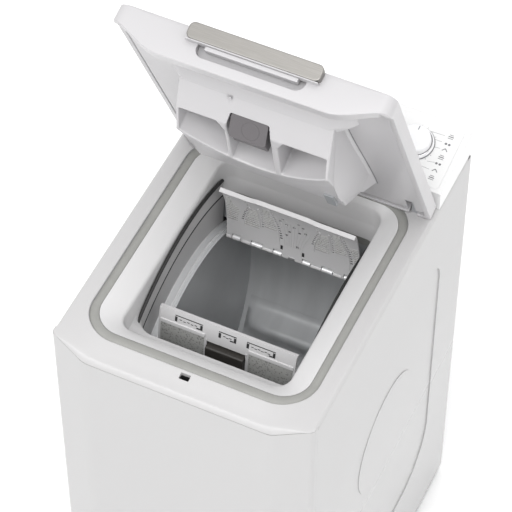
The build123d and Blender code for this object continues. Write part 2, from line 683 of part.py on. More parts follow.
with BuildPart() as lid_shell:
    lid_bar(
        [
            (LID_LOWER_FRONT, RIM_FRONT_LOW),
            (LID_FRONT, LID_TOP),
            (LID_REAR, LID_TOP),
            (LID_REAR, LID_RIM + 10),
            (LID_REAR - 8, LID_RIM),
            (SKIRT_BACK, LID_RIM),
            (SKIRT_BACK, RIM_FRONT_LOW),
        ],
        -LID_HALF,
        LID_HALF,
    )
    plan = lid_ring(780, LID_HALF, LID_LOWER_FRONT - 1, LID_REAR, 14)
    extrude(plan, amount=80, mode=Mode.INTERSECT)
    for sign in (-1, 1):
        # The front rim climbs towards both corners.
        with BuildSketch(Plane(origin=LID.origin, x_dir=LID.x_dir, z_dir=-LID.y_dir)) as climb:
            with BuildLine():
                Polyline(
                    (sign * 126, RIM_FRONT_LOW - 5 - HINGE_Z),
                    (sign * 126, RIM_FRONT_LOW - HINGE_Z),
                    (sign * 190, RIM_FRONT_CORNER - HINGE_Z),
                    (sign * 210, RIM_FRONT_CORNER - HINGE_Z),
                    (sign * 210, RIM_FRONT_LOW - 5 - HINGE_Z),
                    close=True,
                )
            make_face()
        extrude(climb.sketch, amount=500, mode=Mode.SUBTRACT)
    hollow = lid_ring(780, LID_HALF - LID_WALL, SKIRT_BACK, LID_REAR - 4, 10)
    extrude(hollow, amount=LID_TOP - LID_WALL - 780, mode=Mode.SUBTRACT)
    lid_box(-GRIP_HALF, GRIP_HALF, -320, -291, GRIP_LOW, GRIP_HIGH, Mode.SUBTRACT)
    # Slots that let the hinge brackets through as the lid swings.
    for sign in (-1, 1):
        slot_x = sorted((sign * 163.5, sign * 176.5))
        lid_box(*slot_x, 140, LID_REAR + 5, LID_RIM - 5, HINGE_Z + BRACKET_R + 0.5, Mode.SUBTRACT)
        # Bearing blocks hang from the top wall on both sides of each bracket.
        for near, far in BLOCK_SPANS:
            lid_box(*sorted((sign * near, sign * far)), 142, 156, 832, LID_TOP - LID_WALL + 0.5)
    lid_rod(LID_PIN_R + 0.01, -190, 190, Mode.SUBTRACT)
lid_shell.part.label = "lid_shell"
export_step(lid_shell.part, "parts/lid_shell.step")

with BuildPart() as lid_hinge_pins:
    for sign in (-1, 1):
        lid_rod(LID_PIN_R, *sorted((sign * 153, sign * 188)))
lid_hinge_pins.part.label = "lid_hinge_pins"
export_step(lid_hinge_pins.part, "parts/lid_hinge_pins.step")

LINER_LOW = 823.0
LINER_HIGH = 825.5

with BuildPart() as lid_liner:
    sheet = lid_ring(LINER_LOW, LID_HALF - LID_WALL - 0.4, SKIRT_BACK + 0.4, 139, 12)
    extrude(sheet, amount=LINER_HIGH - LINER_LOW)
    for sign in (-1, 1):
        slot_x = sorted((sign * 163.5, sign * 176.5))
        lid_box(*slot_x, 100, 150, LINER_LOW - 2, LINER_HIGH + 2, Mode.SUBTRACT)
    for x in (-150, 150):
        lid_box(x - 1.5, x + 1.5, SKIRT_BACK + 10, 120, LINER_HIGH - 0.5, LID_TOP - LID_WALL - 0.3)
lid_liner.part.label = "lid_liner"
export_step(lid_liner.part, "parts/lid_liner.step")

HANDLE_HALF = 96.0

with BuildPart() as lid_handle:
    lid_bar(
        [
            (-300.2, LID_TOP),
            (-300.2, LID_TOP + 2),
            (-304, LID_TOP + 5),
            (-314, LID_TOP + 3),
            (-315, GRIP_HIGH + 2),
            (-311, GRIP_HIGH - 1),
            (-305, GRIP_HIGH - 1),
            (-303.4, GRIP_HIGH),
        ],
        -HANDLE_HALF,
        HANDLE_HALF,
    )
    front = lid_ring(GRIP_HIGH - 10, HANDLE_HALF, -315.5, -280, 9)
    extrude(front, amount=60, mode=Mode.INTERSECT)
lid_handle.part.label = "lid_handle"
export_step(lid_handle.part, "parts/lid_handle.step")

with BuildPart() as latch_hook:
    lid_bar(
        [
            (-253, LINER_LOW),
            (-253, 806),
            (-258, 802),
            (-259.5, 806),
            (-256.5, 808),
            (-256.5, LINER_LOW),
        ],
        -6,
        6,
    )
latch_hook.part.label = "latch_hook"
export_step(latch_hook.part, "parts/latch_hook.step")

# ------------------------------------------------------------------ detergent dispenser
DISPENSER_HALF = 118.0
MOUTH = (-174.0, 774.0)
MOUTH_LIP = (-100.0, 763.0)
DISPENSER_WALL = 2.5
POCKETS = [(-114.0, -42.0), (-36.0, 36.0), (42.0, 114.0)]

with BuildPart() as dispenser_box:
    lid_bar(
        [
            (66, LINER_LOW),
            (58, 808),
            MOUTH_LIP,
            MOUTH,
            (-194, 800),
            (-196, LINER_LOW),
        ],
        -DISPENSER_HALF,
        DISPENSER_HALF,
    )
    for near, far in POCKETS:
        lid_bar(
            [
                (MOUTH[0] + 3, 760),
                (MOUTH_LIP[0] - 3, 750),
                (MOUTH_LIP[0] - 3, MOUTH_LIP[1] + 4.5),
                (20, 800),
                (20, LINER_LOW - DISPENSER_WALL),
                (-160, LINER_LOW - DISPENSER_WALL),
                (MOUTH[0] + 3, 785),
            ],
            near,
            far,
            Mode.SUBTRACT,
        )
dispenser_box.part.label = "dispenser_box"
export_step(dispenser_box.part, "parts/dispenser_box.step")

# Softener cup: slides out of the middle pocket, square to the mouth.
with BuildPart() as softener_cup:
    lid_bar([(-166, 774), (-130, 768.5), (-125, 805), (-161, 810)], -33, 33)
    lid_bar([(-140, 765), (-133, 764), (-129.5, 790), (-136.5, 790)], -10, 10, Mode.SUBTRACT)
    lid_bar([(-163, 777), (-134, 772.5), (-128, 811), (-159, 812)], -31, 31, Mode.SUBTRACT)
softener_cup.part.label = "softener_cup"
export_step(softener_cup.part, "parts/softener_cup.step")

# ------------------------------------------------------------------ hinge brackets
with BuildPart() as hinge_brackets:
    for sign in (-1, 1):
        x_low, x_high = sorted((sign * BRACKET_X[0], sign * BRACKET_X[1]))
        extrude(
            profile_yz(
                [
                    (HINGE_Y - 5, DECK),
                    (HINGE_Y + 5, DECK),
                    (HINGE_Y + 5, HINGE_Z),
                    (HINGE_Y - 5, HINGE_Z),
                ],
                x_low,
            ),
            amount=x_high - x_low,
        )
        along_x(BRACKET_R, x_low, x_high, HINGE_Y, HINGE_Z)
    along_x(LID_PIN_R + 0.06, -190, 190, HINGE_Y, HINGE_Z, mode=Mode.SUBTRACT)
hinge_brackets.part.label = "hinge_brackets"
export_step(hinge_brackets.part, "parts/hinge_brackets.step")

# ------------------------------------------------------------------ console
SLOPE = degrees(atan2(REAR_TOP - CONSOLE_FRONT_TOP, REAR - CONSOLE_FRONT))
CONSOLE_WALL = 3.0
FASCIA_DEPTH = 1.0
FASCIA_X = 193.0
FASCIA_NEAR = 6.0
FASCIA_FAR = 112.0
FASCIA_CORNER = 5.0
FASCIA_PROUD = 0.2

# Plane on the sloping console top, at its front edge; its Y runs up the slope.
CONSOLE = axis_plane(CONSOLE_FRONT, CONSOLE_FRONT_TOP, SLOPE)
KNOB_X = 132.0
KNOB_UP = 66.0
KNOB_R = 28.0
KNOB_HIGH = 16.0
KNOB_SHAFT_R = 3.0
BUTTON_SPOTS = [(x, 44.0) for x in (-140.0, -90.0, -40.0)]
BUTTON_SIZE = (26.0, 11.0)
BUTTON_NODES = ("start_button", "temperature_button", "spin_button")
LAMP_SPOTS = [(x, 62.0) for x in (-140.0, -120.0, -90.0, -70.0, -40.0, -20.0)]


def fascia_plan(height, inset):
    """Outline of the fascia at a height above the console top, drawn in by inset."""
    with BuildSketch(CONSOLE.offset(height)) as outline:
        with Locations((0, (FASCIA_NEAR + FASCIA_FAR) / 2)):
            RectangleRounded(2 * (FASCIA_X - inset), FASCIA_FAR - FASCIA_NEAR - 2 * inset, FASCIA_CORNER)
    return outline.sketch


def console_holes(low, high):
    """Bores for the knob shaft, the buttons and the lamps."""
    with BuildPart(mode=Mode.PRIVATE) as cutters:
        with BuildSketch(CONSOLE.offset(low)) as outline:
            with Locations((KNOB_X, KNOB_UP)):
                Circle(KNOB_SHAFT_R + 0.06)
            with Locations(*BUTTON_SPOTS):
                RectangleRounded(BUTTON_SIZE[0] + 0.8, BUTTON_SIZE[1] + 0.8, 3)
            with Locations(*LAMP_SPOTS):
                Circle(1.6)
        extrude(outline.sketch, amount=high - low)
    return cutters.part


with BuildPart() as console_housing:
    outer = [
        (CONSOLE_FRONT, DECK),
        (CONSOLE_FRONT, CONSOLE_FRONT_TOP),
        (REAR, REAR_TOP),
        (REAR, DECK),
    ]
    extrude(profile_yz(outer, -HALF_W), amount=WIDTH)
    top = console_housing.edges().filter_by(Axis.X).group_by(Axis.Z)[-1]
    fillet(top, radius=6)
    inner = [
        (CONSOLE_FRONT + CONSOLE_WALL, DECK - 1),
        (CONSOLE_FRONT + CONSOLE_WALL, CONSOLE_FRONT_TOP - CONSOLE_WALL),
        (REAR - CONSOLE_WALL, REAR_TOP - CONSOLE_WALL - 1.5),
        (REAR - CONSOLE_WALL, DECK - 1),
    ]
    hollow = profile_yz(inner, -HALF_W + CONSOLE_WALL)
    extrude(hollow, amount=WIDTH - 2 * CONSOLE_WALL, mode=Mode.SUBTRACT)
    extrude(fascia_plan(-FASCIA_DEPTH, 0), amount=FASCIA_DEPTH + 5, mode=Mode.SUBTRACT)
    add(console_holes(-12, 5), mode=Mode.SUBTRACT)
console_housing.part.label = "console_housing"
export_step(console_housing.part, "parts/console_housing.step")

with BuildPart() as console_fascia:
    extrude(fascia_plan(-FASCIA_DEPTH, 0.2), amount=FASCIA_DEPTH + FASCIA_PROUD)
    add(console_holes(-3, 3), mode=Mode.SUBTRACT)
console_fascia.part.label = "console_fascia"
export_step(console_fascia.part, "parts/console_fascia.step")

with BuildPart() as lamp_lenses:
    with BuildSketch(CONSOLE.offset(-3.5)) as outline:
        with Locations(*LAMP_SPOTS):
            Circle(1.5)
    extrude(outline.sketch, amount=3.9)
lamp_lenses.part.label = "lamp_lenses"
export_step(lamp_lenses.part, "parts/lamp_lenses.step")

with BuildPart() as program_knob:
    with BuildSketch(CONSOLE.offset(0.8)) as skirt:
        with Locations((KNOB_X, KNOB_UP)):
            Circle(KNOB_R)
    extrude(skirt.sketch, amount=KNOB_HIGH, taper=9)
    edges = program_knob.edges().filter_by(GeomType.CIRCLE).sort_by(Axis.Z)[-1]
    fillet(edges, radius=2)
    with BuildSketch(CONSOLE.offset(-13)) as shaft:
        with Locations((KNOB_X, KNOB_UP)):
            Circle(KNOB_SHAFT_R)
    extrude(shaft.sketch, amount=14)
program_knob.part.label = "program_knob"
export_step(program_knob.part, "parts/program_knob.step")

for node, spot in zip(BUTTON_NODES, BUTTON_SPOTS):
    with BuildPart() as push_button:
        with BuildSketch(CONSOLE.offset(-7)) as outline:
            with Locations(spot):
                RectangleRounded(*BUTTON_SIZE, 2.6)
        extrude(outline.sketch, amount=9)
        fillet(push_button.faces().sort_by(Axis.Z)[-1].edges(), radius=0.8)
    push_button.part.label = node
    export_step(push_button.part, f"parts/{node}.step")

BOARD_DROP = 17.0

with BuildPart() as control_board:
    with BuildSketch(CONSOLE.offset(-BOARD_DROP)) as board:
        with Locations((0, 58)):
            Rectangle(360, 84)
    extrude(board.sketch, amount=1.6)
    with BuildSketch(CONSOLE.offset(-BOARD_DROP + 1.6)) as switches:
        with Locations(*BUTTON_SPOTS):
            Rectangle(8, 8)
        with Locations((KNOB_X, KNOB_UP)):
            Rectangle(18, 18)
    extrude(switches.sketch, amount=2.2)
    with BuildSketch(CONSOLE.offset(-BOARD_DROP - 12)) as parts:
        with Locations((-120, 80), (-60, 80), (80, 80)):
            Rectangle(30, 18)
    extrude(parts.sketch, amount=12)
control_board.part.label = "control_board"
export_step(control_board.part, "parts/control_board.step")

# ------------------------------------------------------------------ door lock
with BuildPart() as door_lock:
    with Locations((0, -254, 795)):
        Box(70, 26, 28)
    with Locations((SLOT[0], SLOT[1], 800)):
        Box(SLOT[2] + 1, SLOT[3] + 1, 30, mode=Mode.SUBTRACT)
door_lock.part.label = "door_lock"
export_step(door_lock.part, "parts/door_lock.step")

# ------------------------------------------------------------------ bearings, pulleys, belt, motor
BEARING_X = (152.5, 168.0)

with BuildPart() as drum_bearings:
    for sign in (-1, 1):
        x_low, x_high = sorted((sign * BEARING_X[0], sign * BEARING_X[1]))
        along_x(BEARING_R, x_low, x_high)
        along_x(SHAFT_R + 0.05, x_low - 1, x_high + 1, mode=Mode.SUBTRACT)
drum_bearings.part.label = "drum_bearings"
export_step(drum_bearings.part, "parts/drum_bearings.step")

with BuildPart() as shaft_seals:
    for sign in (-1, 1):
        x_low, x_high = sorted((sign * 148.5, sign * 152.0))
        along_x(BEARING_R, x_low, x_high)
        along_x(SHAFT_R + 0.06, x_low - 1, x_high + 1, mode=Mode.SUBTRACT)
shaft_seals.part.label = "shaft_seals"
export_step(shaft_seals.part, "parts/shaft_seals.step")

PULLEY_R = 120.0
PULLEY_X = (177.0, 190.0)
MOTOR_Y = 120.0
MOTOR_Z = 140.0
MOTOR_PULLEY_R = 10.0
MOTOR_R = 60.0
ROTOR_R = 40.0
MOTOR_SHAFT_R = 5.0
BELT_GAP = 0.3
BELT_THICK = 2.0

with BuildPart() as drum_pulley:
    along_x(PULLEY_R, *PULLEY_X)
    along_x(PULLEY_R - 10, PULLEY_X[0] - 1, PULLEY_X[1] + 1, mode=Mode.SUBTRACT)
    along_x(24, PULLEY_X[0] - 3, PULLEY_X[1])
    for turn in range(0, 360, 60):
        arm_y = AXIS_Y + 66 * cos(radians(turn))
        arm_z = AXIS_Z + 66 * sin(radians(turn))
        with Locations(Location((sum(PULLEY_X) / 2, arm_y, arm_z), (turn, 0, 0))):
            Box(8, 92, 16)
    along_x(SHAFT_R + 0.02, 150, 200, mode=Mode.SUBTRACT)
drum_pulley.part.label = "drum_pulley"
export_step(drum_pulley.part, "parts/drum_pulley.step")

with BuildPart() as motor_rotor:
    along_x(MOTOR_SHAFT_R, 20, 189, MOTOR_Y, MOTOR_Z)
    along_x(ROTOR_R, 50, 140, MOTOR_Y, MOTOR_Z)
    along_x(MOTOR_PULLEY_R, *PULLEY_X, MOTOR_Y, MOTOR_Z)
motor_rotor.part.label = "motor_rotor"
export_step(motor_rotor.part, "parts/motor_rotor.step")

with BuildPart() as motor_housing:
    along_x(MOTOR_R, 30, 160, MOTOR_Y, MOTOR_Z)
    along_x(ROTOR_R + 2, 34, 156, MOTOR_Y, MOTOR_Z, mode=Mode.SUBTRACT)
    along_x(MOTOR_SHAFT_R + 0.06, 20, 170, MOTOR_Y, MOTOR_Z, mode=Mode.SUBTRACT)
motor_housing.part.label = "motor_housing"
export_step(motor_housing.part, "parts/motor_housing.step")

with BuildPart() as drive_belt:
    with BuildSketch(Plane.YZ.offset(PULLEY_X[0] + 1)) as belt:
        with Locations((AXIS_Y, AXIS_Z)):
            Circle(PULLEY_R + BELT_GAP + BELT_THICK)
        with Locations((MOTOR_Y, MOTOR_Z)):
            Circle(MOTOR_PULLEY_R + BELT_GAP + BELT_THICK)
        make_hull()
        with BuildSketch(mode=Mode.SUBTRACT):
            with Locations((AXIS_Y, AXIS_Z)):
                Circle(PULLEY_R + BELT_GAP)
            with Locations((MOTOR_Y, MOTOR_Z)):
                Circle(MOTOR_PULLEY_R + BELT_GAP)
            make_hull()
    extrude(belt.sketch, amount=PULLEY_X[1] - PULLEY_X[0] - 2)
drive_belt.part.label = "drive_belt"
export_step(drive_belt.part, "parts/drive_belt.step")

# Motor bracket: two plates hung from the underside of the tub.
with BuildPart() as motor_bracket:
    for x in (45, 145):
        plate = [(70, 262), (150, 300), (MOTOR_Y + 30, MOTOR_Z + 40), (MOTOR_Y - 30, MOTOR_Z + 40)]
        extrude(profile_yz(plate, x - 3), amount=6)
    along_x(TUB_R + 0.05, 20, 170, mode=Mode.SUBTRACT)
    along_x(MOTOR_R + 0.05, 20, 170, MOTOR_Y, MOTOR_Z, mode=Mode.SUBTRACT)
motor_bracket.part.label = "motor_bracket"
export_step(motor_bracket.part, "parts/motor_bracket.step")

# ------------------------------------------------------------------ suspension
RAIL_X = 176.0
RAIL_Z = 770.0
SPRING_X = 168.0
SPRING_R = 9.0
WIRE_R = 1.6

with BuildPart() as spring_rails:
    for sign in (-1, 1):
        with Locations((sign * (HALF_W - SHEET - PRESS_DEPTH - 7), 10, RAIL_Z)):
            Box(12, 520, 20)
        with Locations(*[(sign * (SPRING_X + 4), y, RAIL_Z - 8) for y in SPRING_YS]):
            Box(24, 20, 4)
spring_rails.part.label = "spring_rails"
export_step(spring_rails.part, "parts/spring_rails.step")

with BuildPart() as suspension_springs:
    for x in (-SPRING_X, SPRING_X):
        for y in SPRING_YS:
            low = SPRING_LUG_Z + 8 + WIRE_R
            with BuildLine() as coil:
                Helix(
                    pitch=12,
                    height=RAIL_Z - 12 - WIRE_R - low,
                    radius=SPRING_R,
                    center=(x, y, low),
                )
            with BuildSketch(coil.line ^ 0) as wire:
                Circle(WIRE_R)
            sweep(wire.sketch, path=coil.line, is_frenet=True)
suspension_springs.part.label = "suspension_springs"
export_step(suspension_springs.part, "parts/suspension_springs.step")

DAMPER_SPOTS = [(x, y, TRAY_LOW + 3) for x in (-120.0, 120.0) for y in (-130.0,)]

with BuildPart() as shock_dampers:
    with Locations(*DAMPER_SPOTS):
        Box(30, 30, 10, align=MIN_Z)
        Cylinder(13, 130, align=MIN_Z)
        Cylinder(6, 300, align=MIN_Z)
    along_x(TUB_R + 0.05, -200, 200, mode=Mode.SUBTRACT)
shock_dampers.part.label = "shock_dampers"
export_step(shock_dampers.part, "parts/shock_dampers.step")

with BuildPart() as counterweight:
    with BuildSketch(Plane.XY.offset(560)) as block:
        with Locations((0, -208)):
            Rectangle(250, 60)
    extrude(block.sketch, amount=110)
    along_x(TUB_R + 0.3, -200, 200, mode=Mode.SUBTRACT)
    with Locations((0, -260, 600)):
        Box(400, 60, 300, mode=Mode.SUBTRACT)
    with Locations((0, -150, 620)):
        Box(400, 30, 240, mode=Mode.SUBTRACT)
counterweight.part.label = "counterweight"
export_step(counterweight.part, "parts/counterweight.step")

# ------------------------------------------------------------------ water circuit
with BuildPart() as heater:
    for y in (-15, 15):
        with Locations((3, AXIS_Y + y, HEATER_Z)):
            Cylinder(4, 200, rotation=TURN_TO_X)
    with Locations((-97, AXIS_Y, HEATER_Z)):
        Cylinder(4, 30, rotation=(90, 0, 0))
    with Locations((SUMP_X - 2, AXIS_Y, HEATER_Z)):
        Box(14, 52, 18)
heater.part.label = "heater"
export_step(heater.part, "parts/heater.step")

PUMP_Y = -205.0
PUMP_Z = FILTER_Z + 8.0
PUMP_R = 34.0
FILTER_R = 27.0

with BuildPart() as drain_pump:
    with Locations((FILTER_X, PUMP_Y - 5, PUMP_Z)):
        Cylinder(PUMP_R, 80, rotation=(90, 0, 0))
    with Locations((FILTER_X, PUMP_Y - 35, PUMP_Z)):
        Cylinder(FILTER_R + 0.06, 80, rotation=(90, 0, 0), mode=Mode.SUBTRACT)
    with Locations((FILTER_X, PUMP_Y + 60, PUMP_Z)):
        Cylinder(24, 60, rotation=(90, 0, 0))
    with Locations((FILTER_X, PUMP_Y + 5, PUMP_Z + 32)):
        Cylinder(12, 40, align=MIN_Z)
drain_pump.part.label = "drain_pump"
export_step(drain_pump.part, "parts/drain_pump.step")

with BuildPart() as pump_filter:
    with Locations((FILTER_X, PUMP_Y - 34, PUMP_Z)):
        Cylinder(FILTER_R, 60, rotation=(90, 0, 0))
    with Locations((FILTER_X, PUMP_Y - 68, PUMP_Z)):
        Box(46, 8, 7)
pump_filter.part.label = "pump_filter"
export_step(pump_filter.part, "parts/pump_filter.step")

# Filter door: a flush flap in the foot of the front panel, hinged along its lower edge.
DOOR_GAP = 1.0
DOOR_HINGE = (FRONT + 5.0, FILTER_Z - FILTER_HALF_H + 5.0)
DOOR_PIN_R = 2.0
DOOR_LUG_R = 3.5
WINDOW_HALF = FILTER_HALF_W + 1.0

with BuildPart() as filter_door:
    with Locations((FILTER_X, FRONT + 1.0, FILTER_Z)):
        Box(2 * (FILTER_HALF_W - DOOR_GAP), 2, 2 * (FILTER_HALF_H - DOOR_GAP))
    for x in (FILTER_X - 30, FILTER_X + 30):
        with Locations((x, FRONT + 3.5, DOOR_HINGE[1])):
            Box(8, 4, 5)
        along_x(DOOR_LUG_R, x - 4, x + 4, *DOOR_HINGE)
    along_x(DOOR_PIN_R + 0.06, 0, 2 * FILTER_X, *DOOR_HINGE, mode=Mode.SUBTRACT)
filter_door.part.label = "filter_door"
export_step(filter_door.part, "parts/filter_door.step")

with BuildPart() as filter_frame:
    # Its lower bar stands clear of the door's swing.
    with Locations((FILTER_X, FRONT + 2.7, FILTER_Z - 2)):
        Box(2 * WINDOW_HALF + 10, 3, 2 * FILTER_HALF_H + 16)
    with Locations((FILTER_X, FRONT + 2.7, FILTER_Z - 1.5)):
        Box(2 * WINDOW_HALF, 10, 2 * FILTER_HALF_H + 5, mode=Mode.SUBTRACT)
    # Cheeks on both side bars carry the pin from above, where the door never reaches.
    for x in (FILTER_X - WINDOW_HALF + 4.5, FILTER_X + WINDOW_HALF - 4.5):
        with Locations((x, DOOR_HINGE[0] + 0.5, DOOR_HINGE[1] + 6)):
            Box(11, 5.4, 15.4)
    along_x(DOOR_PIN_R, FILTER_X - WINDOW_HALF + 3, FILTER_X + WINDOW_HALF - 3, *DOOR_HINGE)
filter_frame.part.label = "filter_frame"
export_step(filter_frame.part, "parts/filter_frame.step")

INLET_THREAD_R = 13.2

with BuildPart() as inlet_valve:
    with Locations((INLET_X, REAR - 11, INLET_Z)):
        Cylinder(INLET_THREAD_R, 22, rotation=(90, 0, 0))
        Cylinder(9.5, 24, rotation=(90, 0, 0), mode=Mode.SUBTRACT)
    with Locations((INLET_X, REAR - 28, INLET_Z)):
        Cylinder(18, 16, rotation=(90, 0, 0))
    with Locations((INLET_X, REAR - 28, INLET_Z + 12)):
        Box(22, 14, 26)
inlet_valve.part.label = "inlet_valve"
export_step(inlet_valve.part, "parts/inlet_valve.step")

with BuildPart() as drain_outlet:
    with Locations((DRAIN_X, REAR - 16, DRAIN_Z)):
        Cylinder(11, 32, rotation=(90, 0, 0))
        Cylinder(8.5, 34, rotation=(90, 0, 0), mode=Mode.SUBTRACT)
    with Locations((DRAIN_X, REAR - 6, DRAIN_Z)):
        Cylinder(30, 3, rotation=(90, 0, 0))
        Cylinder(8.5, 34, rotation=(90, 0, 0), mode=Mode.SUBTRACT)
drain_outlet.part.label = "drain_outlet"
export_step(drain_outlet.part, "parts/drain_outlet.step")

with BuildPart() as mains_gland:
    with Locations((GLAND_X, REAR - 4, GLAND_Z)):
        Cylinder(8.8, 8, rotation=(90, 0, 0))
    with Locations((GLAND_X, REAR - 5, GLAND_Z)):
        Cylinder(12, 6, rotation=(90, 0, 0))
    with Locations((GLAND_X, REAR - 5, GLAND_Z)):
        Cylinder(4, 30, rotation=(90, 0, 0), mode=Mode.SUBTRACT)
mains_gland.part.label = "mains_gland"
export_step(mains_gland.part, "parts/mains_gland.step")
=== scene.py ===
import json
import math

import bmesh
import bpy
from mathutils import Matrix, Vector


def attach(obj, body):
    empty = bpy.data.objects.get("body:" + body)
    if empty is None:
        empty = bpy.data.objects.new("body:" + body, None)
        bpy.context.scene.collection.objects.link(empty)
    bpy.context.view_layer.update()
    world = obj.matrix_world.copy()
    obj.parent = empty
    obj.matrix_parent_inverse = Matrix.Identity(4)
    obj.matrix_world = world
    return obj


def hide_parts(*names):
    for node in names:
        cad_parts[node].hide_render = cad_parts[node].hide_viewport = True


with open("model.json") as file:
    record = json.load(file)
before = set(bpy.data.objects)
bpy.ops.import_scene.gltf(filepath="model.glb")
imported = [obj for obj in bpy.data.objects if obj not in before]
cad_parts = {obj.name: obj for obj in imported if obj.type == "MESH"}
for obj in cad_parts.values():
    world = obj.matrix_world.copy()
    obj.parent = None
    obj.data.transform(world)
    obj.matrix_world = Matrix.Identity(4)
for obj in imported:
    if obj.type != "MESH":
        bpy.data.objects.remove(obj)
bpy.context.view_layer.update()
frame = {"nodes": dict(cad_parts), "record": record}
NODES = frame["nodes"]
SCENE = bpy.context.scene


# ------------------------------------------------------------------ view and light
def look_at(obj, target):
    """Turns a camera or light so that it looks at a point."""
    direction = Vector(target) - obj.location
    obj.rotation_mode = "QUATERNION"
    obj.rotation_quaternion = direction.to_track_quat("-Z", "Y")


def soft_box(name, place, target, size, power):
    """A rectangular area light."""
    data = bpy.data.lights.new(name, "AREA")
    data.shape = "RECTANGLE"
    data.size, data.size_y = size
    data.energy = power
    obj = bpy.data.objects.new(name, data)
    SCENE.collection.objects.link(obj)
    obj.location = place
    look_at(obj, target)


AZIMUTH = math.radians(25.3275)
ELEVATION = math.radians(51.3188)
CAMERA_PLACE = (0.98924, -2.1186, 3.71251)
SENSOR_MM = 36.0
LENS_MM = 184.0935
SIGHT_LIMIT = 60.0
camera_data = bpy.data.cameras.new("camera")
camera_data.sensor_width = SENSOR_MM
camera_data.lens = LENS_MM
camera_data.clip_end = SIGHT_LIMIT
camera = bpy.data.objects.new("camera", camera_data)
SCENE.collection.objects.link(camera)
SCENE.camera = camera
camera.location = CAMERA_PLACE
sight = Vector((
    -math.sin(AZIMUTH) * math.cos(ELEVATION),
    math.cos(AZIMUTH) * math.cos(ELEVATION),
    -math.sin(ELEVATION),
))
camera.rotation_mode = "QUATERNION"
camera.rotation_quaternion = sight.to_track_quat("-Z", "Y")

SCENE.view_settings.view_transform = "Standard"
world = bpy.data.worlds.new("studio")
SCENE.world = world
world.use_nodes = True
backdrop = world.node_tree.nodes["Background"]
backdrop.inputs["Color"].default_value = (1, 1, 1, 1)
backdrop.inputs["Strength"].default_value = 1.0

# Each light: name, place, the point it looks at, size in metres and power in watts.
LIGHTS = (
    ("key", (-1.3, -2.7, 3.6), (0, 0, 0.8), (2.4, 2.0), 44),
    ("fill", (3.0, -1.0, 2.0), (0, 0, 0.7), (2.0, 2.0), 18),
    ("top", (0.3, -0.3, 4.2), (0, 0, 0.8), (2.5, 2.5), 24),
    ("opening", (0.45, -1.9, 3.9), (0, 0, 0.7), (1.0, 1.0), 48),
)
for light in LIGHTS:
    soft_box(*light)


# ------------------------------------------------------------------ materials
class Shader:
    """A procedural material, built up from varied colour, varied roughness and fine bump."""

    def __init__(self, name, color, rough, metal=0.0):
        self.mat = bpy.data.materials.new(name)
        self.mat.use_nodes = True
        self.tree = self.mat.node_tree
        self.bsdf = self.tree.nodes["Principled BSDF"]
        self.color = color
        self.bsdf.inputs["Base Color"].default_value = (*color, 1)
        self.bsdf.inputs["Roughness"].default_value = rough
        self.bsdf.inputs["Metallic"].default_value = metal
        self.rough = rough
        self.coords = self.node("ShaderNodeTexCoord").outputs["Object"]

    def node(self, kind):
        return self.tree.nodes.new(kind)

    def link(self, source, target):
        self.tree.links.new(source, target)

    def noise(self, scale, detail=3.0, stretch=(1, 1, 1)):
        mapping = self.node("ShaderNodeMapping")
        mapping.inputs["Scale"].default_value = stretch
        self.link(self.coords, mapping.inputs["Vector"])
        made = self.node("ShaderNodeTexNoise")
        made.inputs["Scale"].default_value = scale
        made.inputs["Detail"].default_value = detail
        self.link(mapping.outputs[0], made.inputs["Vector"])
        return made.outputs["Fac"]

    def height(self):
        made = self.node("ShaderNodeSeparateXYZ")
        self.link(self.coords, made.inputs[0])
        return made.outputs["Z"]

    def ramp(self, source, low, high, start=0.3, stop=0.7):
        made = self.node("ShaderNodeMapRange")
        made.interpolation_type = "SMOOTHSTEP"
        made.inputs["From Min"].default_value = start
        made.inputs["From Max"].default_value = stop
        made.inputs["To Min"].default_value = low
        made.inputs["To Max"].default_value = high
        self.link(source, made.inputs["Value"])
        return made.outputs[0]

    def tint(self, source, amount):
        """Darkens the base colour by up to amount, where the source is high."""
        mix = self.node("ShaderNodeMix")
        mix.data_type = "RGBA"
        other = tuple(c * (1 - amount) for c in self.color)
        mix.inputs["A"].default_value = (*self.color, 1)
        mix.inputs["B"].default_value = (*other, 1)
        self.link(source, mix.inputs["Factor"])
        self.link(mix.outputs["Result"], self.bsdf.inputs["Base Color"])

    def vary_rough(self, source, spread):
        varied = self.ramp(source, self.rough - spread, self.rough + spread)
        self.link(varied, self.bsdf.inputs["Roughness"])

    def bump(self, source, strength, distance=0.0003):
        made = self.node("ShaderNodeBump")
        made.inputs["Strength"].default_value = strength
        made.inputs["Distance"].default_value = distance
        self.link(source, made.inputs["Height"])
        self.link(made.outputs["Normal"], self.bsdf.inputs["Normal"])


def enamel(name, color, rough):
    """Painted sheet steel, with painted shade: a touch darker towards the top."""
    s = Shader(name, color, rough)
    # Painted shade: the colour darkens a little with height.
    s.tint(s.ramp(s.height(), 0, 1, 0.0, 0.9), 0.015)
    s.vary_rough(s.height(), 0.03)
    return s.mat


def moulded(name, color, rough=0.38, grain=0.02, scale=120.0):
    """Injection-moulded plastic: a fine spark-eroded grain and slight tone change."""
    s = Shader(name, color, rough)
    s.tint(s.ramp(s.noise(3.0, 1.0), 0, 1), 0.015)
    s.vary_rough(s.noise(6.0, 1.0), 0.04)
    s.bump(s.noise(scale, 2.0), grain)
    return s.mat


def rubber(name, color):
    s = Shader(name, color, 0.62)
    s.tint(s.ramp(s.noise(30.0, 4.0), 0, 1), 0.08)
    s.vary_rough(s.noise(60.0), 0.08)
    s.bump(s.noise(500.0, 3.0), 0.05)
    return s.mat


def brushed(name, color, rough=0.3, stretch=(1, 60, 60), scale=40.0):
    """Satin metal with fine lines along one axis."""
    s = Shader(name, color, rough, 1.0)
    lines = s.noise(scale, 6.0, stretch)
    s.tint(s.ramp(lines, 0, 1), 0.12)
    s.vary_rough(lines, 0.06)
    s.bump(lines, 0.05)
    return s.mat


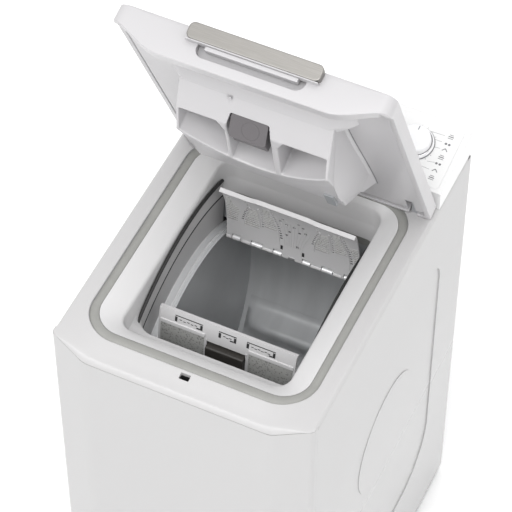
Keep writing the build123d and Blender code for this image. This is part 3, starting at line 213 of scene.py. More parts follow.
def satin(name, color, rough, metal):
    """Dull steel in soft light: wide faint bands of painted reflection in the colour rather than a mirror,
    with the roughness varying along them.
    """
    s = Shader(name, color, rough, metal)
    sheen_and_rough_bands = s.noise(9.0, 3.0, (4, 0.6, 0.6))
    # Painted reflection: the bands darken the colour in wide soft streaks.
    s.tint(s.ramp(sheen_and_rough_bands, 0, 1), 0.1)
    s.vary_rough(sheen_and_rough_bands, 0.05)
    s.bump(s.noise(60.0, 2.0), 0.03)
    return s.mat


def dimpled(name, color):
    """Grip panel: a field of small dimples, bumped, with painted shade darkening each one."""
    s = Shader(name, color, 0.6)
    cells = s.node("ShaderNodeTexVoronoi")
    cells.inputs["Scale"].default_value = 270.0
    s.link(s.coords, cells.inputs["Vector"])
    # Painted shade: a dark dot in the hollow of each dimple.
    s.tint(s.ramp(cells.outputs["Distance"], 1, 0, 0.1, 0.5), 0.5)
    s.vary_rough(s.noise(60.0), 0.05)
    s.bump(cells.outputs["Distance"], 0.5, 0.0006)
    return s.mat


# Each look: the function that makes it and what it passes on, from the colour.
RECIPES = {
    "loop_steel": (satin, (0.8, 0.8, 0.81), 0.3, 0.3),
    "flap_plastic": (moulded, (0.55, 0.545, 0.55), 0.4, 0.01),
    "dimpled": (dimpled, (0.33, 0.33, 0.32)),
    "white_enamel": (enamel, (0.43, 0.427, 0.428), 0.3),
    "zinc_steel": (brushed, (0.60, 0.61, 0.63), 0.42, (1, 1, 1), 120),
    "white_plastic": (moulded, (0.45, 0.445, 0.447), 0.42),
    "console_white": (moulded, (0.72, 0.72, 0.72), 0.35),
    "print_grey": (moulded, (0.16, 0.16, 0.17), 0.5),
    "lid_plastic": (moulded, (0.435, 0.428, 0.437), 0.32, 0.008),
    "gasket_grey": (rubber, (0.26, 0.26, 0.247)),
    "handle_metal": (brushed, (0.30, 0.29, 0.275), 0.42),
    "drum_steel": (satin, (0.64, 0.65, 0.66), 0.36, 0.1),
    "pin_steel": (brushed, (0.75, 0.75, 0.76), 0.16),
    # A lighter copy of white_plastic for the well: painted light on its funnel walls.
    "well_white": (moulded, (0.56, 0.556, 0.558), 0.42),
    "lifter_grey": (satin, (0.6, 0.61, 0.62), 0.36, 0.1),
    "button_grey": (moulded, (0.03, 0.027, 0.024), 0.5, 0.15, 1200),
    "softener_grey": (moulded, (0.105, 0.098, 0.103), 0.42),
    "latch_plastic": (moulded, (0.68, 0.68, 0.68)),
    "knob_white": (moulded, (0.76, 0.76, 0.77), 0.22, 0.01),
    "key_white": (moulded, (0.72, 0.72, 0.73), 0.25, 0.01),
    "lamp_lens": (moulded, (0.55, 0.28, 0.10), 0.15, 0.01),
    "tub_plastic": (moulded, (0.30, 0.31, 0.32), 0.5, 0.1),
    "black_rubber": (rubber, (0.02, 0.02, 0.02)),
    "bearing_steel": (brushed, (0.55, 0.55, 0.56), 0.2),
    "cast_alloy": (brushed, (0.55, 0.55, 0.56), 0.45, (1, 1, 1), 200),
    "motor_steel": (brushed, (0.35, 0.35, 0.36), 0.4, (80, 1, 1), 40),
    "motor_alloy": (brushed, (0.45, 0.45, 0.46), 0.5, (1, 1, 1), 200),
    "iron": (moulded, (0.07, 0.07, 0.07), 0.75, 0.5, 300),
    "heater_steel": (brushed, (0.35, 0.35, 0.37), 0.35),
    "black_plastic": (moulded, (0.025, 0.025, 0.026), 0.5, 0.12),
    "blue_plastic": (moulded, (0.55, 0.57, 0.60)),
    "filter_grey": (moulded, (0.25, 0.26, 0.27)),
    "board_green": (moulded, (0.02, 0.10, 0.04), 0.4, 0.1, 500),
    "nut_steel": (brushed, (0.60, 0.60, 0.58), 0.3, (1, 1, 1), 100),
}
MATERIALS = {name: make(name, *values) for name, (make, *values) in RECIPES.items()}
SLOT_OF = {row["node"]: row["material_slot"] for row in frame["record"]["subparts"]}
LOOKS = {
    "hinge_strips": "loop_steel",
    "console_housing": "console_white",
    "console_fascia": "console_white",
}
for node, obj in NODES.items():
    obj.data.materials.clear()
    obj.data.materials.append(MATERIALS[LOOKS.get(node, SLOT_OF[node])])


# ------------------------------------------------------------------ mesh helpers
MM = 0.001
ROW = Matrix.Scale(MM, 4)
HINGE = Vector((0, 149, 838))
LID_OPEN = math.radians(-66)
# Closed-lid millimetres to the raised lid in metres.
LID = ROW @ Matrix.Translation(HINGE) @ Matrix.Rotation(LID_OPEN, 4, "X") @ Matrix.Translation(-HINGE)


def clamp(value, low=0.0, high=1.0):
    return max(low, min(high, value))


def smooth(t):
    t = clamp(t)
    return t * t * (3 - 2 * t)


SIDES = (("left", -1), ("right", 1))


def adopt(obj, slot, body, replaces=(), bevel=0.0, angle=32.0):
    """Finishes a piece: rounded edges, shading, material and the body it is attached to."""
    shade(obj, angle)
    if bevel:
        modifier = obj.modifiers.new("bevel", "BEVEL")
        modifier.width = bevel * MM
        modifier.segments = 3
        modifier.limit_method = "ANGLE"
        modifier.angle_limit = math.radians(angle)
        modifier.harden_normals = True
        apply_modifiers(obj)
    obj.data.materials.clear()
    obj.data.materials.append(MATERIALS[slot])
    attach(obj, body)
    if replaces:
        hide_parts(*replaces)


def shade(obj, angle):
    mesh = obj.data
    mesh.shade_smooth()
    mesh.set_sharp_from_angle(angle=math.radians(angle))


def apply_modifiers(obj):
    graph = bpy.context.evaluated_depsgraph_get()
    graph.update()
    made = bpy.data.meshes.new_from_object(obj.evaluated_get(graph))
    obj.modifiers.clear()
    obj.data = made


def new_object(name, verts, faces, matrix=ROW):
    mesh = bpy.data.meshes.new(name)
    mesh.from_pydata([matrix @ Vector(v) for v in verts], [], faces)
    work = bmesh.new()
    work.from_mesh(mesh)
    bmesh.ops.remove_doubles(work, verts=work.verts, dist=1e-6)
    bmesh.ops.recalc_face_normals(work, faces=work.faces)
    work.to_mesh(mesh)
    work.free()
    obj = bpy.data.objects.new(name, mesh)
    SCENE.collection.objects.link(obj)
    return obj


def drop(*objects):
    for obj in objects:
        bpy.data.objects.remove(obj)


def loft(name, rings, matrix=ROW, caps=True):
    """Skin over rings of equal length; each ring is a closed loop of points."""
    count = len(rings[0])
    verts = [p for ring in rings for p in ring]
    faces = []
    for r in range(len(rings) - 1):
        for i in range(count):
            j = (i + 1) % count
            faces.append((r * count + i, r * count + j, (r + 1) * count + j, (r + 1) * count + i))
    if caps:
        faces.append(tuple(range(count)))
        faces.append(tuple((len(rings) - 1) * count + i for i in reversed(range(count))))
    return new_object(name, verts, faces, matrix)


def bar(name, outline, x_low, x_high, matrix=ROW):
    """Straight piece along X; the outline is in Y and Z."""
    rings = [[(x, y, z) for y, z in outline] for x in (x_low, x_high)]
    return loft(name, rings, matrix)


def block(name, low, high, matrix=ROW):
    (x0, y0, z0), (x1, y1, z1) = low, high
    return bar(name, [(y0, z0), (y1, z0), (y1, z1), (y0, z1)], x0, x1, matrix)


def prism(name, outline, z_low, z_high, matrix=ROW):
    """Straight piece along Z; the outline is in X and Y."""
    rings = [[(x, y, z) for x, y in outline] for z in (z_low, z_high)]
    return loft(name, rings, matrix)


def prism_y(name, outline, y_low, y_high, matrix=LID):
    """Straight piece along Y; the outline is in X and Z."""
    rings = [[(x, y, z) for x, z in outline] for y in (y_low, y_high)]
    return loft(name, rings, matrix)


def circle(x, y, radius, steps):
    turns = [2 * math.pi * i / steps for i in range(steps)]
    return [(x + radius * math.cos(turn), y + radius * math.sin(turn)) for turn in turns]


def rounded(x_low, x_high, y_low, y_high, radius, steps=8):
    """Rounded rectangle as a loop of points, anticlockwise."""
    points = []
    for cx, cy, start in (
        (x_high - radius, y_high - radius, 0),
        (x_low + radius, y_high - radius, 90),
        (x_low + radius, y_low + radius, 180),
        (x_high - radius, y_low + radius, 270),
    ):
        for i in range(steps + 1):
            a = math.radians(start + 90 * i / steps)
            points.append((cx + radius * math.cos(a), cy + radius * math.sin(a)))
    return points


def tube(name, points, radius, matrix=ROW, sides=12, closed=False):
    """Round bar along a path of points."""
    curve = bpy.data.curves.new(name, "CURVE")
    curve.dimensions = "3D"
    spline = curve.splines.new("POLY")
    spline.points.add(len(points) - 1)
    for spot, p in zip(spline.points, points):
        spot.co = (*(matrix @ Vector(p)), 1)
    spline.use_cyclic_u = closed
    curve.bevel_depth = radius * MM
    curve.bevel_resolution = sides // 4
    curve.use_fill_caps = True
    made = bpy.data.objects.new(name, curve)
    SCENE.collection.objects.link(made)
    mesh = bpy.data.meshes.new_from_object(made)
    drop(made)
    obj = bpy.data.objects.new(name, mesh)
    SCENE.collection.objects.link(obj)
    return obj


def cut(target, *cutters):
    """Takes the cutters away from the target."""
    joined = join(cutters) if len(cutters) > 1 else cutters[0]
    modifier = target.modifiers.new("cut", "BOOLEAN")
    modifier.operation = "DIFFERENCE"
    modifier.solver = "EXACT"
    modifier.use_self = len(cutters) > 1
    modifier.object = joined
    apply_modifiers(target)
    drop(joined)


def join(objects, name=None):
    """One object with the meshes of several."""
    work = bmesh.new()
    for obj in objects:
        work.from_mesh(obj.data)
    mesh = bpy.data.meshes.new(name or objects[0].name)
    work.to_mesh(mesh)
    work.free()
    drop(*objects)
    made = bpy.data.objects.new(mesh.name, mesh)
    SCENE.collection.objects.link(made)
    return made


SOFT_VOXEL = 1.4
SOFT_PASSES = 3
SOFT_KEEP = 0.35


def soften(obj):
    """Moulded look: remeshed finely, edges eased, then thinned out on flat areas."""
    remesh = obj.modifiers.new("remesh", "REMESH")
    remesh.mode = "VOXEL"
    remesh.voxel_size = SOFT_VOXEL * MM
    remesh.adaptivity = 0.0
    ease = obj.modifiers.new("ease", "SMOOTH")
    ease.factor = 0.5
    ease.iterations = SOFT_PASSES
    thin = obj.modifiers.new("thin", "DECIMATE")
    thin.ratio = SOFT_KEEP
    apply_modifiers(obj)


# ------------------------------------------------------------------ lid
LID_HALF = 198.0
LID_TOP = 845.0
LID_RIM = 822.0
LID_FRONT = -300.0
LID_REAR = 162.0
LID_CORNER = 16.0
LID_REAR_CORNER = 10.0
LID_WALL = 8.5
RIM_LOW = 791.7
RIM_CORNER = LID_RIM - 3
RIM_CLIMB_START = 120.0
RIM_CLIMB_LENGTH = 84.0
SKIRT_LEAN = 8.0
SKIRT_BACK = -287.0
CABINET_FRONT = -286.0
# Points on the side walls where the rim returns to its full height.
RIM_STEPS = (-281.0, -278.0, -274.0)
RIM_RETURN = 12.0
BRACKET_NEAR, BRACKET_FAR = 163.5, 176.5
# Opening under the handle: left, right, low, high and corner radius.
GRIP_OPENING = (-73.5, 81.5, 806, 836, 13)


def lid_rim(x, y):
    """Height of the closed lid's lower edge: lowest in front, climbing to its corners."""
    if y < -250:
        climb = smooth((abs(x) - RIM_CLIMB_START) / RIM_CLIMB_LENGTH)
        front = RIM_LOW + (RIM_CORNER - RIM_LOW) * climb
        return front + (LID_RIM - front) * smooth((y - CABINET_FRONT) / RIM_RETURN)
    return LID_RIM


def lid_plan(inset):
    """Plan outline of the lid, in fine steps, with rounded corners."""
    half = LID_HALF - inset
    front = LID_FRONT + inset
    rear = LID_REAR - inset
    radius = max(LID_CORNER - inset, 6)
    tight = LID_REAR_CORNER
    points = []
    corners = (
        (half - radius, front + radius, 270, radius),
        (half - tight, rear - tight, 0, tight),
        (-half + tight, rear - tight, 90, tight),
        (-half + radius, front + radius, 180, radius),
    )
    for cx, cy, start, r in corners:
        if start == 180:
            points += [(-half, y) for y in RIM_STEPS[::-1]]
        for i in range(13):
            a = math.radians(start + 90 * i / 12)
            points.append((cx + r * math.cos(a), cy + r * math.sin(a)))
        if start == 270:
            points += [(half, y) for y in RIM_STEPS]
    steps = 48
    (x0, y0), (x1, _) = points[-1], points[0]
    for i in range(1, steps):
        points.append((x0 + (x1 - x0) * i / steps, y0))
    return points


def lid_ring(inset, height):
    """A level of the skirt; height 0 is the rim and 1 the top."""
    ring = []
    for x, y in lid_plan(inset):
        rim = lid_rim(x, y)
        z = rim + (LID_TOP - rim) * height
        lean = SKIRT_LEAN * (LID_TOP - z) / (LID_TOP - RIM_LOW) if y < -283 else 0
        lean *= smooth((-280 - y) / 8)
        ring.append((x, y - lean, z))
    return ring


def cut_bracket_slots(target, low, high):
    """Slots that let the hinge brackets through; low and high are their Y and Z."""
    for _, s in SIDES:
        near, far = sorted((s * BRACKET_NEAR, s * BRACKET_FAR))
        cut(target, block("bracket_slot", (near, *low), (far, *high), LID))


def lid_shell():
    outer = [lid_ring(inset, height) for inset, height in (
        (1.2, 0.0), (0.3, 0.02), (0, 0.06), (0, 0.5), (0, 0.86), (0.25, 0.93))]
    top = [(x, y, LID_TOP - 1.6) for x, y, _ in lid_ring(0.9, 1)]
    crown = [(x, y, LID_TOP) for x, y, _ in lid_ring(4.5, 1)]
    middle = [(x * 0.97, y * 0.97 - 1, LID_TOP) for x, y, _ in crown]
    inner = []
    for inset, height in ((LID_WALL - 1, 0.0), (LID_WALL, 0.04), (LID_WALL, 0.5)):
        ring = lid_ring(inset, height)
        inner.append([(x, max(y, SKIRT_BACK) if abs(x) < 184 else y, z) for x, y, z in ring])
    roof = [(x, max(y, SKIRT_BACK), LID_TOP - 3) for x, y, _ in lid_ring(LID_WALL, 1)]
    obj = loft("lid_shell_shape", [roof, *reversed(inner), *outer, top, crown, middle], LID)
    cut(obj, prism_y("grip", rounded(*GRIP_OPENING), -330, -291))
    cut_bracket_slots(obj, (138, 815), (170, 844.2))
    adopt(obj, "lid_plastic", "lid", ["lid_shell"], angle=28)


def lid_handle():
    face = prism_y("handle_bar", rounded(-91, 99, 824.4, 848, 8), -314.4, -300.3)
    adopt(face, "handle_metal", "lid", ["lid_handle"], bevel=1.6)
    lip = prism_y("handle_lip", rounded(-90.2, 98.2, 822.8, 824.3, 0.7, 3), -314.0, -300.6)
    adopt(lip, "lid_plastic", "lid", bevel=0.4)
    strip = block("handle_grip", (-61, -309, 816.8), (71, -298, 822.7), LID)
    adopt(strip, "lid_plastic", "lid", bevel=0.8)


lid_shell()
lid_handle()


# ------------------------------------------------------------------ lid liner and dispenser
LINER = 823.0
LINER_HALF = 189.4
LINER_FRONT = -286.6
LINER_REAR = 139.0
LINER_THICK = 2.5
BEAM = 800.5
BEAM_REAR = -205.0
BEAM_FRONT = -286.5
# The beam's foot clears the shut cover and gasket, then drops into the well.
BEAM_FOOT = (
    (BEAM_FRONT, 815.0), (-242, 821.2), (-233.5, 820.2), (-212, 808.0),
    (BEAM_REAR, BEAM), (BEAM_REAR + 10, BEAM),
)
# Places along the beam with the share of its depth there.
BEAM_ENDS = ((-138, 0.02), (-128, 0.45), (-117, 0.8), (-106, 1.0))
DISPENSER_REAR = 62.0
DISPENSER_HALF = 113.0
MOUTH_FRONT = (-169.0, 772.5)
LIP_Z = 751.0
POCKETS = ((-109.0, -53.0), (-34.0, 22.5), (45.5, 109.0))
POCKET_ROOF = 793.0
INSERT_TOP = (-182.0, 785.8)
INSERT_FOOT = (-156.0, 759.8)


def lip_y(x):
    """The dispenser's lower lip is an arch in plan."""
    return -70.0 - 66.0 * ((x + 4) / 116) ** 2


def liner():
    outline = rounded(-LINER_HALF, LINER_HALF, LINER_FRONT, LINER_REAR, 10)
    sheet = prism("lid_liner_shape", outline, LINER, LINER + LINER_THICK, LID)
    cut_bracket_slots(sheet, (100, 820), (150, 830))
    adopt(sheet, "lid_plastic", "lid", ["lid_liner"], bevel=0.6)
    rings = []
    for x, drop in (*BEAM_ENDS, *((-x, drop) for x, drop in reversed(BEAM_ENDS))):
        ring = [(x, y, LINER + 0.1 - (LINER + 0.1 - z) * drop) for y, z in BEAM_FOOT]
        ring += [(x, BEAM_REAR + 10, LINER + 0.2), (x, BEAM_FRONT, LINER + 0.2)]
        rings.append(ring)
    beam = loft("lid_liner_beam", rings, LID)
    cut(beam, block("hookway", (-7, -262, 700), (7, -246, 840), LID))
    adopt(beam, "lid_plastic", "lid", bevel=2.2)
    for side, s in SIDES:
        dot = tube("liner_screw_" + side, [(s * 116, -236, 819.2), (s * 116, -236, 821.5)], 1.3, LID)
        adopt(dot, "button_grey", "lid")


def dispenser():
    mouth_y, mouth_z = MOUTH_FRONT
    xs = [-DISPENSER_HALF + DISPENSER_HALF * 2 * i / 36 for i in range(37)]
    rings = []
    for x in xs:
        y = lip_y(x)
        profile = (
            (BEAM_REAR, BEAM), (mouth_y, mouth_z - 1.5), (mouth_y + 1.5, mouth_z - 2.4),
            (y - 2, LIP_Z), (y, LIP_Z), (y + 2, LIP_Z + 1), (min(y + 40, 5), 757),
            (8, 763), (58, 803), (DISPENSER_REAR, 812), (DISPENSER_REAR, LINER + 0.2),
            (BEAM_REAR, LINER + 0.2),
        )
        rings.append([(x, *spot) for spot in profile])
    body = loft("dispenser_shape", rings, LID)
    cutters = []
    for near, far in POCKETS:
        middle = near < 0 < far
        front = INSERT_TOP[0] - 1.2 if middle else mouth_y + 2.6
        inner_near = near + (0 if near < -100 else (-4 if middle else -10))
        inner_far = far + (0 if far > 100 else (4 if middle else 10))
        steps = [inner_near + (inner_far - inner_near) * i / 12 for i in range(13)]
        plan = [(near, front), (far, front), (inner_far, front + 17)]
        plan += [(x, lip_y(x) - 4) for x in reversed(steps)]
        plan += [(inner_near, front + 17)]
        cutters.append(prism("mouth", plan, 700, POCKET_ROOF, LID))
        if middle:
            bay = [(-184, 780), (-124, 780), (-124, 818), (-170, 818)]
            cutters.append(bar("bay", bay, near, far, LID))
    for cutter in cutters:
        cut(body, cutter)
    notch = tube("notch", [(-37, -212, 804), (-37, -198, 790)], 5, LID, 32)
    cut(body, notch)
    soften(body)
    adopt(body, "lid_plastic", "lid", ["dispenser_box"], angle=60)
    hook = block("dispenser_catch", (-40, -204.6, 795.5), (-34, -199, 798.5), LID)
    adopt(hook, "lid_plastic", "lid", bevel=1.5)
    for side, s in SIDES:
        dispenser_side(side, s)
    window = block("dispenser_window", (88, -34, 757), (103, 4, 766), LID)
    adopt(window, "filter_grey", "lid", bevel=0.5)
    for x in (95, 62):
        tab = block("dispenser_tab_%d" % x, (x, 14, 766), (x + 14, 20, 774), LID)
        adopt(tab, "lid_plastic", "lid", bevel=0.8)


def dispenser_side(side, s):
    """Side skirt that flares towards the liner, with a dark line of painted shade along its seam."""
    front = BEAM_REAR + 6
    rings = []
    for i in range(13):
        t = i / 12
        y = front + (DISPENSER_REAR - front) * t
        low = MOUTH_FRONT[1] + 24 - 40 * smooth(t * 2.2) + 46 * smooth((t - 0.62) / 0.38)
        foot = 114.5 + 11.0 * smooth((t - 0.1) / 0.9)
        profile = ((112.5, low + 2), (113.2, low), (foot - 2, LINER - 4), (foot + 2, LINER + 0.2),
                   (112.5, LINER + 0.2))
        rings.append([(s * x, y, z) for x, z in profile])
    skirt = loft("dispenser_side_" + side, rings, LID)
    adopt(skirt, "lid_plastic", "lid", bevel=0.6)
    # Painted shade: a dark line in the crease where the skirt meets the liner.
    path = [(ring[3][0] + s * 0.4, ring[3][1], LINER - 0.1) for ring in rings]
    adopt(tube("dispenser_seam_shade_" + side, path, 0.85, LID), "print_grey", "lid")


def insert():
    """Softener insert: a plate flush with the sloping front and a cup behind it."""
    slope = Vector((0, INSERT_FOOT[0] - INSERT_TOP[0], INSERT_FOOT[1] - INSERT_TOP[1]))
    length = slope.length
    up = -slope.normalized()
    out = Vector((0, -1, -1)).normalized()
    base = Matrix((
        (1, 0, 0, 0), (0, up.y, out.y, INSERT_TOP[0]), (0, up.z, out.z, INSERT_TOP[1]), (0, 0, 0, 1)))
    place = LID @ base
    plate = prism("softener_insert", rounded(-33.0, 21.5, -length, -0.6, 5), -2.6, 0.9, place)
    # A shallow round groove in the plate.
    ring = prism("groove", circle(-2, -19, 13.4, 40), 0.55, 1.6, place)
    cut(ring, prism("groove_core", circle(-2, -19, 12.2, 40), 0.0, 2.0, place))
    cut(plate, ring)
    adopt(plate, "softener_grey", "softener", ["softener_cup"], bevel=0.5)
    outside = [(-170, 776), (-157, 762.5), (-128, 764), (-128, 800), (-170, 803)]
    inside = [(-168, 776), (-155, 764.5), (-130, 766), (-130, 802), (-168, 806)]
    cup = bar("softener_cup_body", outside, -31, 19.5, LID)
    cut(cup, bar("cup_hollow", inside, -29, 17.5, LID))
    adopt(cup, "softener_grey", "softener", bevel=0.4)


liner()
dispenser()
insert()


# ------------------------------------------------------------------ drum flaps
AXIS = (-2.4, 475.7)
DRUM_R = 225.0
REAR_HINGE = (98.0, 677.0)
FRONT_HINGE = (-130.0, 661.0)
REAR_EDGE = 63.5
FRONT_EDGE = 124.6
FLAP_MEET = 99.1
FLAP_HALF = 107.5
FLAP_OUT = 224.4
FLAP_IN = 222.0
STEEL_LOOPS = ((-91, 12), (-57.5, 17), (-23.5, 12), (23.5, 12), (57.5, 17), (91, 12))
PLASTIC_LOOPS = ((-102.8, 9), (-74.2, 14), (-39.5, 17), (39.5, 17), (74.2, 14), (102.8, 9))
LOOP_R = 4.4
# The rear flap's pattern of slots and ribs comes twice, this far apart.
PATTERN_STEP = 113.5
# Radii between which a cutter goes right through a flap's plate.
THROUGH_LOW, THROUGH_HIGH = 214, 232


def swung(hinge, turn):
    """Closed-flap millimetres to the open flap in metres."""
    foot = Vector((0, *hinge))
    turned = Matrix.Rotation(math.radians(turn), 4, "X")
    return ROW @ Matrix.Translation(foot) @ turned @ Matrix.Translation(-foot)


REAR_FLAP = swung(REAR_HINGE, -72)
FRONT_FLAP = swung(FRONT_HINGE, 62)


def on_drum(angle, radius):
    a = math.radians(angle)
    return (AXIS[0] + radius * math.cos(a), AXIS[1] + radius * math.sin(a))


def drum_block(x_low, x_high, start, stop, r_low, r_high, matrix, skew=0.0):
    """Small block on the drum's wall; skew shifts its far end along X."""
    rings = []
    for side in (0, 1):
        x = (x_low, x_high)[side]
        ring = [(x, *on_drum(start, r_low)), (x + skew, *on_drum(stop, r_low)),
                (x + skew, *on_drum(stop, r_high)), (x, *on_drum(start, r_high))]
        rings.append(ring)
    return loft("drum_block", rings, matrix)


def flap_shell(name, edge, hinge_end, matrix, lip):
    """Curved plate whose free edge follows edge(x); lip is the flange's depth inwards."""
    steps = 20
    rings = []
    turn = 1 if edge(0) > hinge_end else -1
    count = 72
    for i in range(count + 1):
        x = -FLAP_HALF + 2 * FLAP_HALF * i / count
        far = edge(x)
        angles = [hinge_end + (far - hinge_end) * k / steps for k in range(steps + 1)]
        outer = [on_drum(a, FLAP_OUT) for a in angles]
        fold = [on_drum(far, FLAP_IN - lip), on_drum(far - turn * 0.75, FLAP_IN - lip)]
        stop = min if turn > 0 else max
        inner = [on_drum(stop(a, far - 0.9 * turn), FLAP_IN) for a in reversed(angles)]
        rings.append([(x, y, z) for y, z in (*outer, *fold, *inner)])
    return loft(name, rings, matrix)


def flap_shade_sheet(name, start, stop, half_x, matrix, body):
    """Thin dark sheet inside a flap's plate: painted shade, seen through its slots."""
    angles = [start + (stop - start) * k / 16 for k in range(17)]
    near = [on_drum(a, FLAP_IN + 0.6) for a in angles]
    far = [on_drum(a, FLAP_IN + 1.8) for a in reversed(angles)]
    core = bar(name, [*near, *far], -half_x, half_x, matrix)
    adopt(core, "black_plastic", body)


def knuckles(prefix, hinge, matrix, body):
    """Plastic knuckles of a flap round its hinge pin."""
    ring = circle(*hinge, LOOP_R, 28)
    gap = 0.3
    pieces = [bar("knuckle", ring, centre - length / 2 + gap, centre + length / 2 - gap, matrix)
              for centre, length in PLASTIC_LOOPS]
    adopt(join(pieces, prefix + "_knuckles"), "flap_plastic", body, bevel=0.3)


def rear_edge(x):
    """Free edge of the rear flap: its middle stands a little higher."""
    return FLAP_MEET - 0.35 - 1.5 * smooth((abs(x + 6) - 38) / 18)


def down(w):
    """Angle on the rear flap at a share w of the way from its free edge to its hinge."""
    return (FLAP_MEET - 0.8) + (REAR_EDGE - FLAP_MEET) * w


def half_angle(tall):
    """Half of the angle, in degrees, that a height in mm takes up on the flap's inner face."""
    return tall / FLAP_IN * 57.3 / 2


def sweep_a(w):
    """X of the pattern's outer wavy line."""
    return -74.6 + 5.2 * math.sin(math.pi * clamp((w - 0.15) / 0.3)) - 6.8 * smooth((w - 0.4) / 0.25)


def sweep_c(w):
    """X of the pattern's inner wavy line."""
    return -31.0 + 13.0 * smooth((w - 0.15) / 0.6)


def rear_flap():
    flap = flap_shell("rear_flap_shell", rear_edge, REAR_EDGE - 0.6, REAR_FLAP, 4.2)
    notches = [drum_block(x - n / 2 - 1, x + n / 2 + 1, REAR_EDGE - 2, REAR_EDGE + 2.1,
                          THROUGH_LOW, THROUGH_HIGH, REAR_FLAP) for x, n in STEEL_LOOPS]
    cut(flap, *notches)
    slots = []

    def slot(x, w, wide, tall, skew=0.0):
        low, high = down(w) - half_angle(tall), down(w) + half_angle(tall)
        slots.append(drum_block(x - wide / 2, x + wide / 2, low, high, 216, 230, REAR_FLAP, skew))

    for shift in (0, PATTERN_STEP):
        for i in range(12):
            slot(sweep_a(0.17 + 0.04 * i) + shift, 0.17 + 0.04 * i, 4.0, 3.2)
        for i in range(9):
            slot(-48 + shift, 0.29 + 0.042 * i, 3.2, 2.6)
        for i in range(14):
            slot(sweep_c(0.19 + 0.04 * i) + shift, 0.19 + 0.04 * i, 4.0, 3.2)
    for near, far in ((-79, -36), (35, 80)):
        slot((near + far) / 2, 0.1, far - near, 4.2)
    for i in range(6):
        for row in (0.055, 0.085):
            slot(-13 + 4.2 * i + 20 * (row - 0.055), row, 3.0, 2.2, 0.6)
    for x, w in ((-13, 0.31), (12.6, 0.31), (-8, 0.41), (4, 0.42), (-18, 0.37), (19, 0.36),
                 (12, 0.5), (-4, 0.54), (8, 0.77), (-10, 0.62), (22, 0.47)):
        slot(x, w, 4.4, 4.4)
    for x in (-17.5, 17.5):
        slot(x, 0.86, 4.0, 9.5)
    for x in (-96, 92):
        slot(x, 0.14, 9, 2.4)
    cut(flap, *slots)
    adopt(flap, "flap_plastic", "rear_flap", ["rear_flap"], angle=24)
    # A dark sheet of painted shade behind the rear flap's slots.
    flap_shade_sheet("rear_flap_shade_sheet", REAR_EDGE + 3, FLAP_MEET - 2.6, 104, REAR_FLAP, "rear_flap")
    rear_flap_ribs()
    knuckles("rear_flap", REAR_HINGE, REAR_FLAP, "rear_flap")


RIB = 0.9


def rear_flap_ribs():
    """Hatching, wavy ribs and a fan on the rear flap's inner face."""
    ribs = []

    def rib(x_low, x_high, w):
        low, high = down(w) - half_angle(RIB), down(w) + half_angle(RIB)
        ribs.append(drum_block(x_low, x_high, low, high, FLAP_IN - RIB, FLAP_IN + 0.4, REAR_FLAP))

    for i in range(13):
        w = 0.24 + 0.036 * i
        for shift in (0, PATTERN_STEP):
            if w > 0.34:
                rib(sweep_a(w) + 3.5 + shift, -54 + shift, w)
            if w < 0.62:
                rib(-45 + shift, sweep_c(w) - 5 + shift, w)
        rib(-106, sweep_a(w) - 8 - 18 * smooth((0.5 - w) / 0.2), w)
        if w > 0.4:
            rib(sweep_c(w) + 4 + PATTERN_STEP, 106.5, w)
    adopt(join(ribs, "rear_flap_hatching"), "dimpled", "rear_flap")
    waves = (
        ("a", lambda w: sweep_a(w) + 3, 0.3, 0.72),
        ("b", lambda w: -52, 0.27, 0.66),
        ("c", lambda w: sweep_c(w) - 3.4, 0.2, 0.82),
    )
    for number, shift in enumerate((0, PATTERN_STEP)):
        for letter, line, start, stop in waves:
            path = []
            for i in range(15):
                w = start + (stop - start) * i / 14
                path.append((line(w) + shift, *on_drum(down(w), FLAP_IN)))
            wave = tube(f"rear_flap_rib_{letter}{number + 1}", path, 1.1, REAR_FLAP, 8)
            adopt(wave, "flap_plastic", "rear_flap")
    fan = []
    for i in range(9):
        foot = (-13 + 3.6 * i, 0.8)
        head = (-20 + 6.2 * i, 0.3 + 0.012 * i)
        path = [(foot[0] + (head[0] - foot[0]) * smooth(k / 8),
                 *on_drum(down(foot[1] + (head[1] - foot[1]) * k / 8), FLAP_IN)) for k in range(9)]
        fan.append(tube("fan_rib", path, 0.55, REAR_FLAP, 8))
    adopt(join(fan, "rear_flap_fan"), "flap_plastic", "rear_flap")


BUTTON_HALF = 30.0
BUTTON_START = FRONT_EDGE - 16.5
BUTTON_STOP = FRONT_EDGE - 4.5
RIDGE = BUTTON_START - 2.4
GRIP_ANGLE = 14.6


